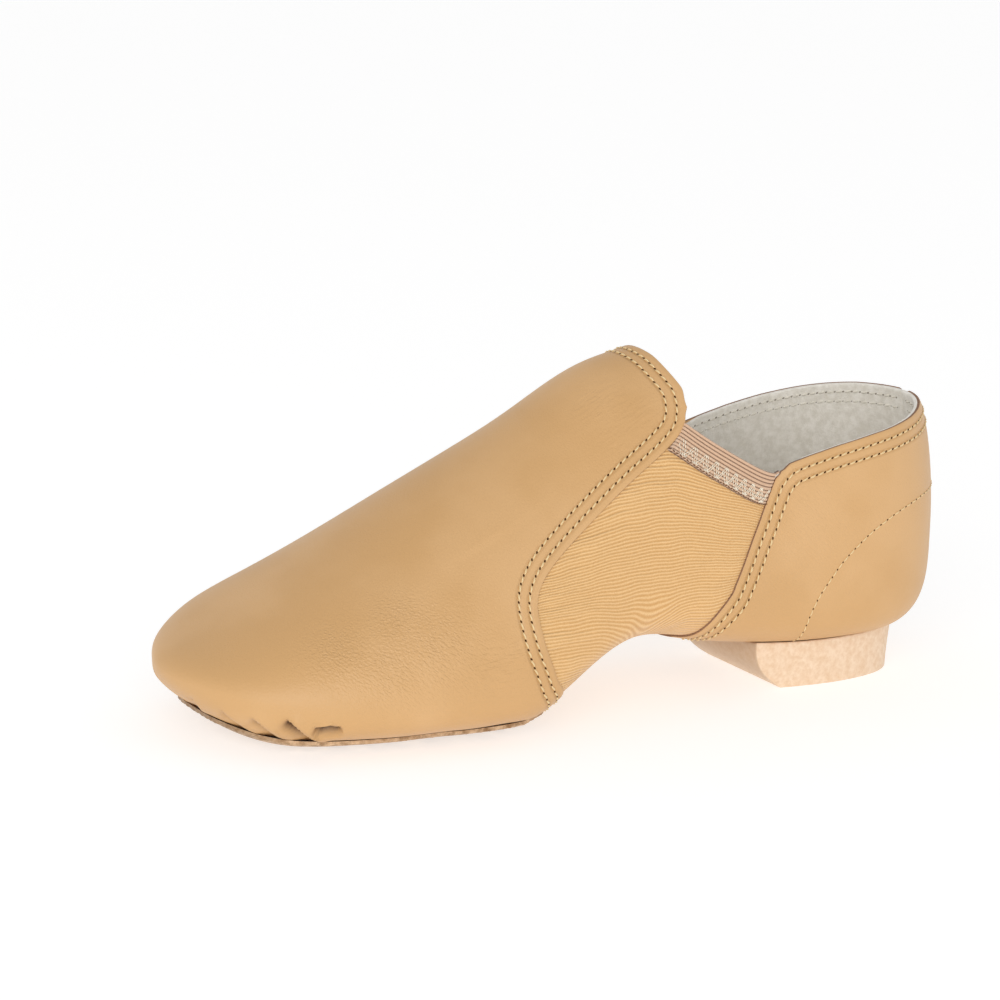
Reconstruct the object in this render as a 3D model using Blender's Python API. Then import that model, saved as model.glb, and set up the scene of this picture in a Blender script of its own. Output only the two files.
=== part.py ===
"""Left slip-on jazz shoe with a split sole: a stretch carcass, leather vamp and quarters, elastic gores.

Metres, +Z up. X runs to the wearer's left, the outer side of a left shoe, and the toe points along -Y.
Every piece is cut from one function, form(), which gives the outside of the leather. The shoe stands
empty, on the flat of its heel and the flat of its forefoot, at Z = 0.
"""

import math
from collections import namedtuple

import bmesh
import bpy
from mathutils import Vector

# Driving sizes, outside the leather
LENGTH = 0.246
BALL_WIDTH = 0.087
INSTEP_HEIGHT = 0.102
COLLAR_HEIGHT = 0.082
HEEL_HEIGHT = 0.0131
ARCH_RISE = 0.008
TIP_RISE = 0.0173

# Thicknesses and clearances
LEATHER = 0.001
CARCASS_WALL = 0.001
ELASTIC_THICKNESS = 0.001
INSOLE_THICKNESS = 0.002
SOLE_THICKNESS = 0.0018
GAP = 0.0003

# Heel block
BLOCK_LENGTH = 0.057
BLOCK_WIDTH = 0.047
BLOCK_BACK_INSET = 0.0125
BREAST_SWEEP = 0.0103
BLOCK_TAPER = 0.0015
BREAST_CURVE = 2.6
BREAST_WIDTH = 0.93  # share of the block's width that its breast has
BLOCK_ROUND = 3.0  # how square the block's back is, 2 being half an ellipse
BLOCK_ROWS = 12
BLOCK_ACROSS = 10
BLOCK_RINGS = 5

# The flat that the sole is pressed to: what would stand less than this off the floor lies on it
PRESSED = 0.00025

# The form's sections from the back of the heel to the tip of the toe. at is a share of the length; half,
# shift and lean are shares of the ball width, for half the section's width, its sideways place and the
# lean of its crest; seat, arch and tip are shares of the heel's height over the tread, of the arch's rise
# and of the tip's rise, which together lift the underside; wide and crest are the heights of the widest
# place and of the top, as shares of the instep's height; low and up are the roundness below and above it.
Section = namedtuple("Section", "at half shift seat arch tip wide crest lean low up")
SECTIONS = [
    Section(0.000, 0.000, 0.005, 1.0, 0.000, 0.000, 0.431, 1.098, -0.010, 3.7, 2.20),
    Section(0.018, 0.172, 0.005, 1.0, 0.000, 0.000, 0.431, 1.098, -0.014, 3.7, 2.20),
    Section(0.068, 0.325, 0.005, 1.0, 0.000, 0.000, 0.412, 1.108, -0.013, 3.9, 2.25),
    Section(0.140, 0.384, 0.005, 1.0, 0.000, 0.000, 0.382, 1.157, -0.008, 4.2, 2.40),
    Section(0.220, 0.376, 0.005, 1.0, 0.000, 0.000, 0.363, 1.196, -0.005, 4.2, 2.50),
    Section(0.300, 0.366, 0.012, 1.0, 0.175, 0.000, 0.357, 1.172, -0.014, 3.7, 2.40),
    Section(0.380, 0.377, 0.022, 1.0, 0.475, 0.000, 0.349, 1.025, -0.041, 2.8, 2.10),
    Section(0.460, 0.398, 0.021, 0.8, 0.880, 0.000, 0.339, 0.949, -0.061, 2.4, 2.05),
    Section(0.540, 0.445, 0.019, 0.4, 0.520, 0.000, 0.265, 0.833, -0.076, 2.7, 2.00),
    Section(0.620, 0.492, 0.015, 0.0, 0.000, 0.000, 0.171, 0.725, -0.080, 3.8, 2.00),
    Section(0.700, 0.507, 0.004, 0.0, 0.000, 0.000, 0.151, 0.622, -0.080, 4.6, 2.00),
    Section(0.780, 0.503, -0.011, 0.0, 0.000, 0.000, 0.146, 0.516, -0.081, 4.6, 2.00),
    Section(0.850, 0.475, -0.031, 0.0, 0.000, 0.000, 0.149, 0.424, -0.080, 4.2, 2.10),
    Section(0.910, 0.418, -0.052, 0.0, 0.000, 0.065, 0.156, 0.343, -0.080, 3.4, 2.30),
    Section(0.955, 0.316, -0.056, 0.0, 0.000, 0.265, 0.169, 0.280, -0.075, 2.8, 2.30),
    Section(0.985, 0.178, -0.059, 0.0, 0.000, 0.545, 0.184, 0.238, -0.052, 2.4, 2.20),
    Section(1.000, 0.000, -0.066, 0.0, 0.000, 1.000, 0.190, 0.190, 0.000, 2.2, 2.10),
]
RUN_ON = ("half", "crest", "tip", "lean")
HEEL_CENTRE = 0.13  # share of the length where the round of the heel has its centre
LEAN_CURVE = 1.5

# The collar's height along the quarters, as a share of its height at the back seam
Rim = namedtuple("Rim", "at height")
RIMS = [
    Rim(0.00, 1.000),
    Rim(0.03, 0.994),
    Rim(0.06, 0.981),
    Rim(0.10, 0.963),
    Rim(0.15, 0.939),
    Rim(0.20, 0.910),
    Rim(0.24, 0.882),
    Rim(0.30, 0.835),
]
THROAT_LEVEL = 0.775  # how far up its section the corner of the throat lies, 0.5 widest and 1 crest
GORE_SAG = 1.5

# The throat's edge from its middle to its corner: its place along the shoe and its level on the section
Throat = namedtuple("Throat", "at level toe_level")
THROATS = [
    Throat(0.4030, 1.000, 1.00),
    Throat(0.4020, 0.965, 0.96),
    Throat(0.3995, 0.930, 0.92),
    Throat(0.3970, 0.893, 0.88),
    Throat(0.3945, 0.856, 0.84),
    Throat(0.3910, 0.815, 0.80),
    Throat(0.3870, 0.775, 0.76),
]

# Lines along the shoe below the collar, each crossing the back seam, the quarter's front edge and the
# vamp's rear edge. back, quarter and vamp are levels there, as shares of the collar's own level at each;
# the first line is the collar, the second the gore's lower edge and the last the underside's middle.
Line = namedtuple("Line", "back quarter_at quarter vamp_at vamp toe_level")
LINES = [
    Line(1.000, 0.281, 1.000, 0.387, 1.000, 0.76),
    Line(0.950, 0.300, 0.946, 0.422, 0.932, 0.71),
    Line(0.900, 0.308, 0.922, 0.482, 0.895, 0.66),
    Line(0.850, 0.317, 0.898, 0.545, 0.881, 0.61),
    Line(0.800, 0.326, 0.872, 0.592, 0.863, 0.57),
    Line(0.750, 0.336, 0.845, 0.615, 0.832, 0.53),
    Line(0.695, 0.346, 0.820, 0.620, 0.787, 0.49),
    Line(0.635, 0.356, 0.775, 0.614, 0.716, 0.45),
    Line(0.570, 0.365, 0.710, 0.602, 0.650, 0.40),
    Line(0.500, 0.373, 0.615, 0.589, 0.545, 0.36),
    Line(0.415, 0.379, 0.500, 0.582, 0.430, 0.30),
    Line(0.300, 0.383, 0.350, 0.575, 0.290, 0.22),
    Line(0.155, 0.386, 0.185, 0.568, 0.145, 0.11),
    Line(0.000, 0.388, 0.000, 0.563, 0.000, 0.00),
]
COLLAR_LINE = 0
GORE_LINE = 1
SEAT_LINE = len(LINES) - 2  # inside this line the underside is open over the heel and the sole
MIDDLE_LINE = len(LINES) - 1
GORE_ROWS = 2
SOLE_LINE = 10.6
INSOLE_LINE = 10

# Faces along the shoe: back seam to quarter's edge, on to the vamp's edge, on to the toe
QUARTER_COLUMNS = 14
GORE_COLUMNS = 6
VAMP_COLUMNS = 17
SEAT_END = 11  # columns of the quarters that lie over the open heel seat
TREAD_START = 2  # columns of the vamp's part, from its rear edge, where the tread's opening starts
TREAD_END = 13
INSOLE_END = 15

# The suede patch under the forefoot: shares of the way from the vamp's rear edge to the tip
SOLE_START = 0.03
SOLE_END = 0.87
SOLE_ROUND = 0.10
SOLE_COLUMNS = 17
SOLE_ROWS = 5

WELD = 0.00005
HALVINGS = 30
SHARP_EDGE = math.radians(40)
NAME = "jazz_shoe"

Finish = namedtuple("Finish", "colour roughness")
STRETCH_FABRIC = Finish((0.72, 0.42, 0.17), 0.85)
TAN_LEATHER = Finish((0.60, 0.36, 0.15), 0.45)
RIBBED_ELASTIC = Finish((0.58, 0.37, 0.22), 0.80)
SUEDE_SOCK = Finish((0.42, 0.40, 0.35), 0.90)
ROUGH_SUEDE = Finish((0.50, 0.34, 0.20), 0.95)
PEACH_SUEDE = Finish((0.80, 0.58, 0.38), 0.80)


def spline(values, x, before=None, after=None):
    """Smooth value at place x of a list of numbers, one apart; before and after lead in and out of it."""
    last = len(values) - 1
    x = min(max(x, 0.0), last)
    i = min(int(x), last - 1)
    t = x - i
    p1, p2 = values[i], values[i + 1]
    if i:
        p0 = values[i - 1]
    else:
        p0 = 2 * p1 - p2 if before is None else before
    if i + 2 <= last:
        p3 = values[i + 2]
    else:
        p3 = 2 * p2 - p1 if after is None else after
    return p1 + 0.5 * t * (p2 - p0 + t * (2 * p0 - 5 * p1 + 4 * p2 - p3 + t * (3 * (p1 - p2) + p3 - p0)))


def column(rows, name):
    return [getattr(row, name) for row in rows]


def section(s):
    """The form's section at place s, from 0 at the back of the heel to 1 at the tip.

    Past either end a value goes back the way it came, so both ends are round; the ones that change sides
    there run on.
    """
    x = s * (len(SECTIONS) - 1)
    found = {}
    for name in Section._fields:
        values = column(SECTIONS, name)
        ends = () if name in RUN_ON else (values[1], values[-2])
        found[name] = spline(values, x, *ends)
    found["half"] = max(found["half"], 0.0)
    return Section(**found)


def place_of(at):
    """The place s whose section lies at this share of the length."""
    low, high = 0.0, 1.0
    for _ in range(HALVINGS):
        middle = (low + high) / 2
        low, high = (middle, high) if section(middle).at < at else (low, middle)
    return (low + high) / 2


def underside(found):
    tread = SOLE_THICKNESS + GAP
    seat = HEEL_HEIGHT + GAP
    lift = found.seat * (seat - tread) + found.arch * ARCH_RISE + found.tip * TIP_RISE
    return tread + max(lift, 0.0)


def form(s, level, side):
    """A point outside the leather: level 0 at the underside's middle, 0.5 widest, 1 crest; side 1 or -1."""
    found = section(s)
    wide, crest = found.wide * INSTEP_HEIGHT, found.crest * INSTEP_HEIGHT
    angle = math.pi * abs(level - 0.5)
    if level < 0.5:
        out = max(math.cos(angle), 0.0) ** (2 / found.low)
        height = wide - (wide - underside(found)) * math.sin(angle) ** (2 / found.low)
        lean = 0.0
    else:
        out = max(math.cos(angle), 0.0) ** (2 / found.up)
        rise = math.sin(angle) ** (2 / found.up)
        height = wide + (crest - wide) * rise
        lean = found.lean * rise**LEAN_CURVE
    at = found.at
    if at < HEEL_CENTRE:
        at = HEEL_CENTRE + out * (at - HEEL_CENTRE)
    across = BALL_WIDTH * (found.shift + lean + side * out * found.half)
    return Vector((across, LENGTH * (0.5 - at), height))


def level_at(s, height):
    """How far up its section a point of the upper half lies at this height."""
    found = section(s)
    wide, crest = found.wide * INSTEP_HEIGHT, found.crest * INSTEP_HEIGHT
    rise = min(max((height - wide) / (crest - wide), 0.0), 1.0)
    return 0.5 + math.asin(rise ** (found.up / 2)) / math.pi


def rim_height(at):
    for low, high in zip(RIMS, RIMS[1:]):
        if at <= high.at:
            share = (at - low.at) / (high.at - low.at)
            return COLLAR_HEIGHT * (low.height + share * (high.height - low.height))
    return COLLAR_HEIGHT * RIMS[-1].height


def collar_level(s):
    return level_at(s, rim_height(section(s).at))


CORNER = place_of(LINES[0].quarter_at)
CORNER_LEVEL = collar_level(CORNER)
QUARTER_PLACES = [place_of(line.quarter_at) for line in LINES]
VAMP_PLACES = [place_of(line.vamp_at) for line in LINES]
THROAT_PLACES = [place_of(row.at) for row in THROATS]


def mix(a, b, share):
    return a + share * (b - a)


def quarter_point(share, line):
    """Place and level between the back seam, share 0, and the quarter's front edge, share 1."""
    s = share * spline(QUARTER_PLACES, line)
    part = mix(spline(column(LINES, "back"), line), spline(column(LINES, "quarter"), line), share)
    return s, part * collar_level(min(s, CORNER))


def gore_point(share, line):
    """Place and level between the quarter's front edge, share 0, and the vamp's rear edge, share 1."""
    s = mix(spline(QUARTER_PLACES, line), spline(VAMP_PLACES, line), share)
    part = mix(spline(column(LINES, "quarter"), line), spline(column(LINES, "vamp"), line), share)
    return s, part * mix(CORNER_LEVEL, THROAT_LEVEL, share**GORE_SAG)


def vamp_point(share, line):
    """Place and level between the vamp's rear edge, share 0, and the tip; a line under 0 is on the throat."""
    if line < COLLAR_LINE:
        row = line + len(THROATS) - 1
        s, level = spline(THROAT_PLACES, row), spline(column(THROATS, "level"), row)
        toe = spline(column(THROATS, "toe_level"), row)
    else:
        s = spline(VAMP_PLACES, line)
        level = THROAT_LEVEL * spline(column(LINES, "vamp"), line)
        toe = spline(column(LINES, "toe_level"), line)
    return mix(s, 1.0, share), mix(level, toe, share * share * (3 - 2 * share))


def new_object(name, shape, finish, parts):
    mesh = bpy.data.meshes.new(name)
    shape.to_mesh(mesh)
    shape.free()
    mesh.shade_smooth()
    mesh.set_sharp_from_angle(angle=SHARP_EDGE)
    material = bpy.data.materials.new(name)
    material.use_nodes = True
    shader = material.node_tree.nodes["Principled BSDF"]
    shader.inputs["Base Color"].default_value = (*finish.colour, 1.0)
    shader.inputs["Roughness"].default_value = finish.roughness
    shader.inputs["Metallic"].default_value = 0.0
    mesh.materials.append(material)
    parts.objects.link(bpy.data.objects.new(name, mesh))


def thicken(sheet, thickness):
    """Gives a sheet a wall towards the foot, along the whole form's own normals."""
    out = sheet.verts.layers.float_vector["out"]
    made = bmesh.ops.extrude_face_region(sheet, geom=list(sheet.faces))
    for item in made["geom"]:
        if isinstance(item, bmesh.types.BMVert):
            item.co -= item[out] * thickness
    bmesh.ops.recalc_face_normals(sheet, faces=sheet.faces)


def close_seams(sheet):
    """Joins the rows that meet, at the underside's middle, the heel's centre and the tip."""
    bmesh.ops.remove_doubles(sheet, verts=sheet.verts, dist=WELD)
    bmesh.ops.dissolve_degenerate(sheet, edges=sheet.edges, dist=WELD)


def keep_normals(sheet):
    """Stores each point's way out of the form, before the sheet is cut."""
    sheet.normal_update()
    out = sheet.verts.layers.float_vector.new("out")
    for vert in sheet.verts:
        vert[out] = vert.normal


def lift(sheet, distance):
    out = sheet.verts.layers.float_vector["out"]
    for vert in sheet.verts:
        vert.co += vert[out] * distance


def draw_in(sheet, distance):
    """Pulls a sheet's free edge back along its surface."""
    moved = []
    for vert in sheet.verts:
        if vert.is_boundary:
            inner = [edge.other_vert(vert).co - vert.co for edge in vert.link_edges if not edge.is_boundary]
            towards = sum((way.normalized() for way in inner), Vector())
            if towards.length:
                moved.append((vert, vert.co + towards.normalized() * distance))
    for vert, place in moved:
        vert.co = place


def row_lines():
    """The lines of the whole form's rows, over one side from the crest to the underside's middle."""
    top = [float(row - len(THROATS) + 1) for row in range(len(THROATS) - 1)]
    gore = [COLLAR_LINE + row / GORE_ROWS for row in range(GORE_ROWS)]
    return top + gore + [float(line) for line in range(GORE_LINE, len(LINES))]


def whole_form(wanted):
    """The form as one sheet. wanted(column, line, side) says which faces to keep, by their middle."""
    lines = row_lines()
    rows = [(line, -1) for line in reversed(lines)] + [(line, 1) for line in lines[1:]]
    columns = QUARTER_COLUMNS + GORE_COLUMNS + VAMP_COLUMNS
    sheet = bmesh.new()
    bmesh.ops.create_grid(sheet, x_segments=columns, y_segments=len(rows) - 1, size=0.5)
    mark = sheet.faces.layers.int.new("unwanted")
    spots = {}
    for vert in sheet.verts:
        i = round((vert.co.x + 0.5) * columns)
        line, side = rows[round((vert.co.y + 0.5) * (len(rows) - 1))]
        spots[vert] = (i, line, side)
    opening = []
    for face in sheet.faces:
        corners = [spots[vert] for vert in face.verts]
        middle = sum(corner[0] for corner in corners) / 4
        line = sum(corner[1] for corner in corners) / 4
        side = 1 if sum(corner[2] for corner in corners) > 0 else -1
        face[mark] = not wanted(middle, line, side)
        if line < COLLAR_LINE and middle < QUARTER_COLUMNS + GORE_COLUMNS:
            opening.append(face)
    bmesh.ops.delete(sheet, geom=opening, context="FACES")
    for vert in sheet.verts:
        i, line, side = spots[vert]
        if i < QUARTER_COLUMNS:
            s, level = quarter_point(i / QUARTER_COLUMNS, line)
        elif i < QUARTER_COLUMNS + GORE_COLUMNS:
            s, level = gore_point((i - QUARTER_COLUMNS) / GORE_COLUMNS, line)
        else:
            s, level = vamp_point((i - QUARTER_COLUMNS - GORE_COLUMNS) / VAMP_COLUMNS, line)
        vert.co = form(s, level, side)
    close_seams(sheet)
    keep_normals(sheet)
    unwanted = [face for face in sheet.faces if face[mark]]
    bmesh.ops.delete(sheet, geom=unwanted, context="FACES")
    return sheet


def over_heel(i, line):
    return line > SEAT_LINE and i < SEAT_END


def over_tread(i, line, start):
    vamp_edge = QUARTER_COLUMNS + GORE_COLUMNS
    return line > SEAT_LINE and vamp_edge + start < i < vamp_edge + TREAD_END


def make_upper(parts):
    """The stretch carcass: the foot's whole cover, closed round the arch, open at collar, heel and tread."""
    sheet = whole_form(lambda i, line, side: not (over_heel(i, line) or over_tread(i, line, TREAD_START)))
    lift(sheet, -(LEATHER + GAP))
    thicken(sheet, CARCASS_WALL)
    new_object("upper", sheet, STRETCH_FABRIC, parts)


def make_vamp(parts):
    """One leather piece over toe and forefoot, its margin turned under all round the tread."""
    edge = QUARTER_COLUMNS + GORE_COLUMNS
    sheet = whole_form(lambda i, line, side: i > edge and not over_tread(i, line, 0))
    draw_in(sheet, GAP / 2)
    thicken(sheet, LEATHER)
    new_object("vamp", sheet, TAN_LEATHER, parts)


def make_quarters(parts):
    """Two leather quarters: they meet at the back seam and under the arch, in front of the heel."""
    for name, wanted_side in (("quarter_left", 1), ("quarter_right", -1)):
        sheet = whole_form(
            lambda i, line, side: i < QUARTER_COLUMNS and side == wanted_side and not over_heel(i, line)
        )
        draw_in(sheet, GAP / 2)
        thicken(sheet, LEATHER)
        new_object(name, sheet, TAN_LEATHER, parts)


def make_gores(parts):
    """The elastic across each side's gap between quarter and vamp, along the opening's edge."""
    for name, wanted_side in (("elastic_left", 1), ("elastic_right", -1)):
        sheet = whole_form(
            lambda i, line, side: QUARTER_COLUMNS < i < QUARTER_COLUMNS + GORE_COLUMNS
            and line < GORE_LINE
            and side == wanted_side
        )
        draw_in(sheet, GAP / 2)
        thicken(sheet, ELASTIC_THICKNESS)
        new_object(name, sheet, RIBBED_ELASTIC, parts)


def make_insole(parts):
    end = QUARTER_COLUMNS + GORE_COLUMNS + INSOLE_END
    sheet = whole_form(lambda i, line, side: line > INSOLE_LINE and i < end)
    lift(sheet, -(LEATHER + GAP + CARCASS_WALL + GAP))
    thicken(sheet, INSOLE_THICKNESS)
    new_object("insole", sheet, SUEDE_SOCK, parts)


def make_forefoot_sole(parts):
    """The suede patch under the forefoot, flat where the foot treads and lifted with the toe."""
    sheet = bmesh.new()
    bmesh.ops.create_grid(sheet, x_segments=SOLE_COLUMNS, y_segments=2 * SOLE_ROWS, size=0.5)
    for vert in sheet.verts:
        along, across = vert.co.x + 0.5, 2 * vert.co.y
        share = mix(SOLE_START, SOLE_END - SOLE_ROUND * across**4, along)
        s, level = vamp_point(share, mix(MIDDLE_LINE, SOLE_LINE, abs(across)))
        vert.co = form(s, level, 1 if across < 0 else -1)
    close_seams(sheet)
    keep_normals(sheet)
    lift(sheet, GAP)
    made = bmesh.ops.extrude_face_region(sheet, geom=list(sheet.faces))
    for item in made["geom"]:
        if isinstance(item, bmesh.types.BMVert):
            height = item.co.z - SOLE_THICKNESS
            item.co.z = height if height > PRESSED else 0.0
    bmesh.ops.recalc_face_normals(sheet, faces=sheet.faces)
    new_object("forefoot_sole", sheet, ROUGH_SUEDE, parts)


def seat_height(x, y):
    """The height of the leather's underside over a point of the heel block."""
    at = 0.5 - y / LENGTH
    if at >= HEEL_CENTRE:
        found = section(place_of(at))
        out = abs(x / BALL_WIDTH - found.shift) / found.half
    else:
        low, high = 0.0, place_of(HEEL_CENTRE)
        for _ in range(HALVINGS):
            middle = (low + high) / 2
            found = section(middle)
            along = (HEEL_CENTRE - at) / max(HEEL_CENTRE - found.at, WELD)
            out = abs(x / BALL_WIDTH - found.shift) / max(found.half, WELD)
            low, high = (middle, high) if out > along else (low, middle)
        out = along
    wide = found.wide * INSTEP_HEIGHT
    return wide - (wide - underside(found)) * (1 - min(out, 1.0) ** found.low) ** (1 / found.low)


def block_half(share):
    """Half the block's width: share 0 at the breast, 1 at the back."""
    swell = mix(BREAST_WIDTH, 1.0, math.sin(math.pi / 2 * min(share * 2, 1.0)))
    return BLOCK_WIDTH / 2 * swell * max(1 - share**BLOCK_ROUND, 0.0) ** (1 / BLOCK_ROUND)


def make_heel(parts):
    """The heel block: its top fits the seat, its breast sweeps back, and its back is round."""
    back = LENGTH / 2 - BLOCK_BACK_INSET
    middle_x = SECTIONS[0].shift * BALL_WIDTH
    block = bmesh.new()
    bmesh.ops.create_grid(block, x_segments=BLOCK_ACROSS, y_segments=BLOCK_ROWS, size=0.5)
    for vert in block.verts:
        share = math.sin(math.pi / 2 * (vert.co.y + 0.5))
        x = middle_x + 2 * vert.co.x * block_half(share)
        y = back - BLOCK_LENGTH * (1 - share)
        vert.co = (x, y, seat_height(x, y) - GAP)
    bmesh.ops.remove_doubles(block, verts=block.verts, dist=WELD)
    ring = [edge for edge in block.edges if edge.is_boundary]
    plan = {}
    for vert in {vert for edge in ring for vert in edge.verts}:
        plan[vert] = vert.co.copy()
    for step in range(1, BLOCK_RINGS + 1):
        made = bmesh.ops.extrude_edge_only(block, edges=ring)["geom"]
        ring = [item for item in made if isinstance(item, bmesh.types.BMEdge) and item.is_boundary]
        below = {}
        for old, top in plan.items():
            new = next(
                edge.other_vert(old)
                for edge in old.link_edges
                if edge.other_vert(old) in made and edge.other_vert(old) not in plan
            )
            down = step / BLOCK_RINGS
            forward = (back - top.y) / BLOCK_LENGTH
            x = middle_x + (top.x - middle_x) * (1 - down * 2 * BLOCK_TAPER / BLOCK_WIDTH)
            sweep = BREAST_SWEEP * down**BREAST_CURVE * forward
            y = top.y + sweep - BLOCK_TAPER * down * (1 - forward)
            new.co = (x, y, top.z * (1 - down))
            below[new] = top
        plan = below
    bmesh.ops.edgeloop_fill(block, edges=ring)
    bmesh.ops.recalc_face_normals(block, faces=block.faces)
    new_object("heel", block, PEACH_SUEDE, parts)


def centre(parts):
    """Puts the shoe's middle over the origin, by one parent that carries every piece."""
    bpy.context.view_layer.update()
    graph = bpy.context.evaluated_depsgraph_get()
    corners = []
    for piece in parts.objects:
        shape = piece.evaluated_get(graph).to_mesh()
        corners += [vert.co.copy() for vert in shape.vertices]
    low, high = (Vector([pick(place[k] for place in corners) for k in range(3)]) for pick in (min, max))
    base = bpy.data.objects.new("base", None)
    pieces = list(parts.objects)
    parts.objects.link(base)
    base.location = (-(low.x + high.x) / 2, -(low.y + high.y) / 2, -low.z)
    for piece in pieces:
        piece.parent = base


def main():
    for old in list(bpy.data.objects):
        bpy.data.objects.remove(old, do_unlink=True)
    parts = bpy.data.collections.new(NAME)
    bpy.context.scene.collection.children.link(parts)
    make_upper(parts)
    make_vamp(parts)
    make_quarters(parts)
    make_gores(parts)
    make_insole(parts)
    make_forefoot_sole(parts)
    make_heel(parts)
    centre(parts)


main()
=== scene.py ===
"""The looks of a left slip-on jazz shoe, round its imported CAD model.

Metres, +Z up, the toe along -Y and the wearer's left along +X. form() gives the outside of the leather, and
the other layers lie under it. It is the form that the CAD solids are cut from, but for a rounder lower edge
under the ball and a tip of the toe that springs a little higher.
"""

import math
from collections import namedtuple

import bmesh
import bpy
import numpy as np
from bpy.props import FloatProperty, FloatVectorProperty, IntProperty, PointerProperty
from mathutils import Matrix, Vector
from mathutils.bvhtree import BVHTree
from mathutils.kdtree import KDTree


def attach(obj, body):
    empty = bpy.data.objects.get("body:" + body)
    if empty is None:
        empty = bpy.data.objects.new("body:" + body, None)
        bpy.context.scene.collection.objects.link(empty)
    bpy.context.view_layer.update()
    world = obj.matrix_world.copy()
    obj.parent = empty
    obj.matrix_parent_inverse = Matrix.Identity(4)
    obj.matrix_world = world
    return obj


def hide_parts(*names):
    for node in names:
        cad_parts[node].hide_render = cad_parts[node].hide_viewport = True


bl_info = {
    "name": "Jazz shoe looks",
    "version": (1, 0, 0),
    "blender": (4, 5, 0),
    "location": "3D View > Sidebar > Jazz shoe",
    "description": "Dresses the jazz shoe's solids in leather, stretch fabric, elastic, suede and stitches",
    "category": "Object",
}

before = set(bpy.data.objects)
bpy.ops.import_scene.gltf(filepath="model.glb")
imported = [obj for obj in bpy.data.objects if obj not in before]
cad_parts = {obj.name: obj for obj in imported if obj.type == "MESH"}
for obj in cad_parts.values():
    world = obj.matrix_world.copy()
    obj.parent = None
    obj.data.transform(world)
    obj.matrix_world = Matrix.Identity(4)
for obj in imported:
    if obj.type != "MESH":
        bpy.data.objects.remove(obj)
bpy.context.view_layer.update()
MM = 0.001

# Driving sizes, outside the leather
LENGTH = 0.246
BALL_WIDTH = 0.087
INSTEP_HEIGHT = 0.102
COLLAR_HEIGHT = 0.082
HEEL_HEIGHT = 0.0131
ARCH_RISE = 0.008
TIP_RISE = 0.0173
SOLE_THICKNESS = 0.0018
GAP = 0.0003

# The form's sections from the back of the heel to the tip of the toe. at is a share of the length; half,
# shift and lean are shares of the ball width; seat, arch and tip are shares of the heel's height over the
# tread, of the arch's rise and of the tip's rise; wide and crest are the heights of the widest place and of
# the top, as shares of the instep's height; low and up are the roundness below and above it.
Section = namedtuple("Section", "at half shift seat arch tip wide crest lean low up")
SECTIONS = [
    Section(0.000, 0.000, 0.005, 1.0, 0.000, 0.000, 0.431, 1.098, -0.010, 3.7, 2.20),
    Section(0.018, 0.172, 0.005, 1.0, 0.000, 0.000, 0.431, 1.098, -0.014, 3.7, 2.20),
    Section(0.068, 0.325, 0.005, 1.0, 0.000, 0.000, 0.412, 1.108, -0.013, 3.9, 2.25),
    Section(0.140, 0.384, 0.005, 1.0, 0.000, 0.000, 0.382, 1.157, -0.008, 4.2, 2.40),
    Section(0.220, 0.376, 0.005, 1.0, 0.000, 0.000, 0.363, 1.196, -0.005, 4.2, 2.50),
    Section(0.300, 0.366, 0.012, 1.0, 0.175, 0.000, 0.357, 1.172, -0.014, 3.7, 2.40),
    Section(0.380, 0.377, 0.022, 1.0, 0.475, 0.000, 0.349, 1.025, -0.041, 2.8, 2.10),
    Section(0.460, 0.398, 0.021, 0.8, 0.880, 0.000, 0.339, 0.949, -0.061, 2.4, 2.05),
    Section(0.540, 0.445, 0.019, 0.4, 0.520, 0.000, 0.265, 0.833, -0.076, 2.5, 2.00),
    Section(0.620, 0.492, 0.015, 0.0, 0.000, 0.000, 0.171, 0.725, -0.080, 2.8, 2.00),
    Section(0.700, 0.507, 0.004, 0.0, 0.000, 0.000, 0.151, 0.622, -0.080, 2.8, 2.00),
    Section(0.780, 0.503, -0.011, 0.0, 0.000, 0.000, 0.146, 0.516, -0.081, 2.8, 2.00),
    Section(0.850, 0.475, -0.031, 0.0, 0.000, 0.000, 0.149, 0.424, -0.080, 2.8, 2.10),
    Section(0.910, 0.418, -0.052, 0.0, 0.000, 0.080, 0.156, 0.343, -0.080, 2.9, 2.30),
    Section(0.955, 0.316, -0.056, 0.0, 0.000, 0.330, 0.169, 0.280, -0.075, 2.7, 2.30),
    Section(0.985, 0.178, -0.059, 0.0, 0.000, 0.650, 0.184, 0.238, -0.052, 2.4, 2.20),
    Section(1.000, 0.000, -0.066, 0.0, 0.000, 1.000, 0.190, 0.190, 0.000, 2.2, 2.10),
]
RUN_ON = ("half", "crest", "tip", "lean")
HEEL_CENTRE = 0.13
LEAN_CURVE = 1.5

Rim = namedtuple("Rim", "at height")
RIMS = [
    Rim(0.00, 1.000),
    Rim(0.03, 0.994),
    Rim(0.06, 0.981),
    Rim(0.10, 0.963),
    Rim(0.15, 0.939),
    Rim(0.20, 0.910),
    Rim(0.24, 0.882),
    Rim(0.30, 0.835),
]
THROAT_LEVEL = 0.775
GORE_SAG = 1.5

# How far below the collar's line the elastic's free edge hangs, at its back and front end, and the lining
# behind the quarter's front corner; and how much the elastic's lower edge lifts at mid-length: all in lines
GORE_DROP = 0.13, 0.33
CORNER_DROP = 0.18
ELASTIC_LIFT = 0.17

Throat = namedtuple("Throat", "at level toe_level")
THROATS = [
    Throat(0.4030, 1.000, 1.00),
    Throat(0.4020, 0.965, 0.96),
    Throat(0.3995, 0.930, 0.92),
    Throat(0.3970, 0.893, 0.88),
    Throat(0.3945, 0.856, 0.84),
    Throat(0.3910, 0.815, 0.80),
    Throat(0.3870, 0.775, 0.76),
]
THROAT_ROWS = len(THROATS) - 1

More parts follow.
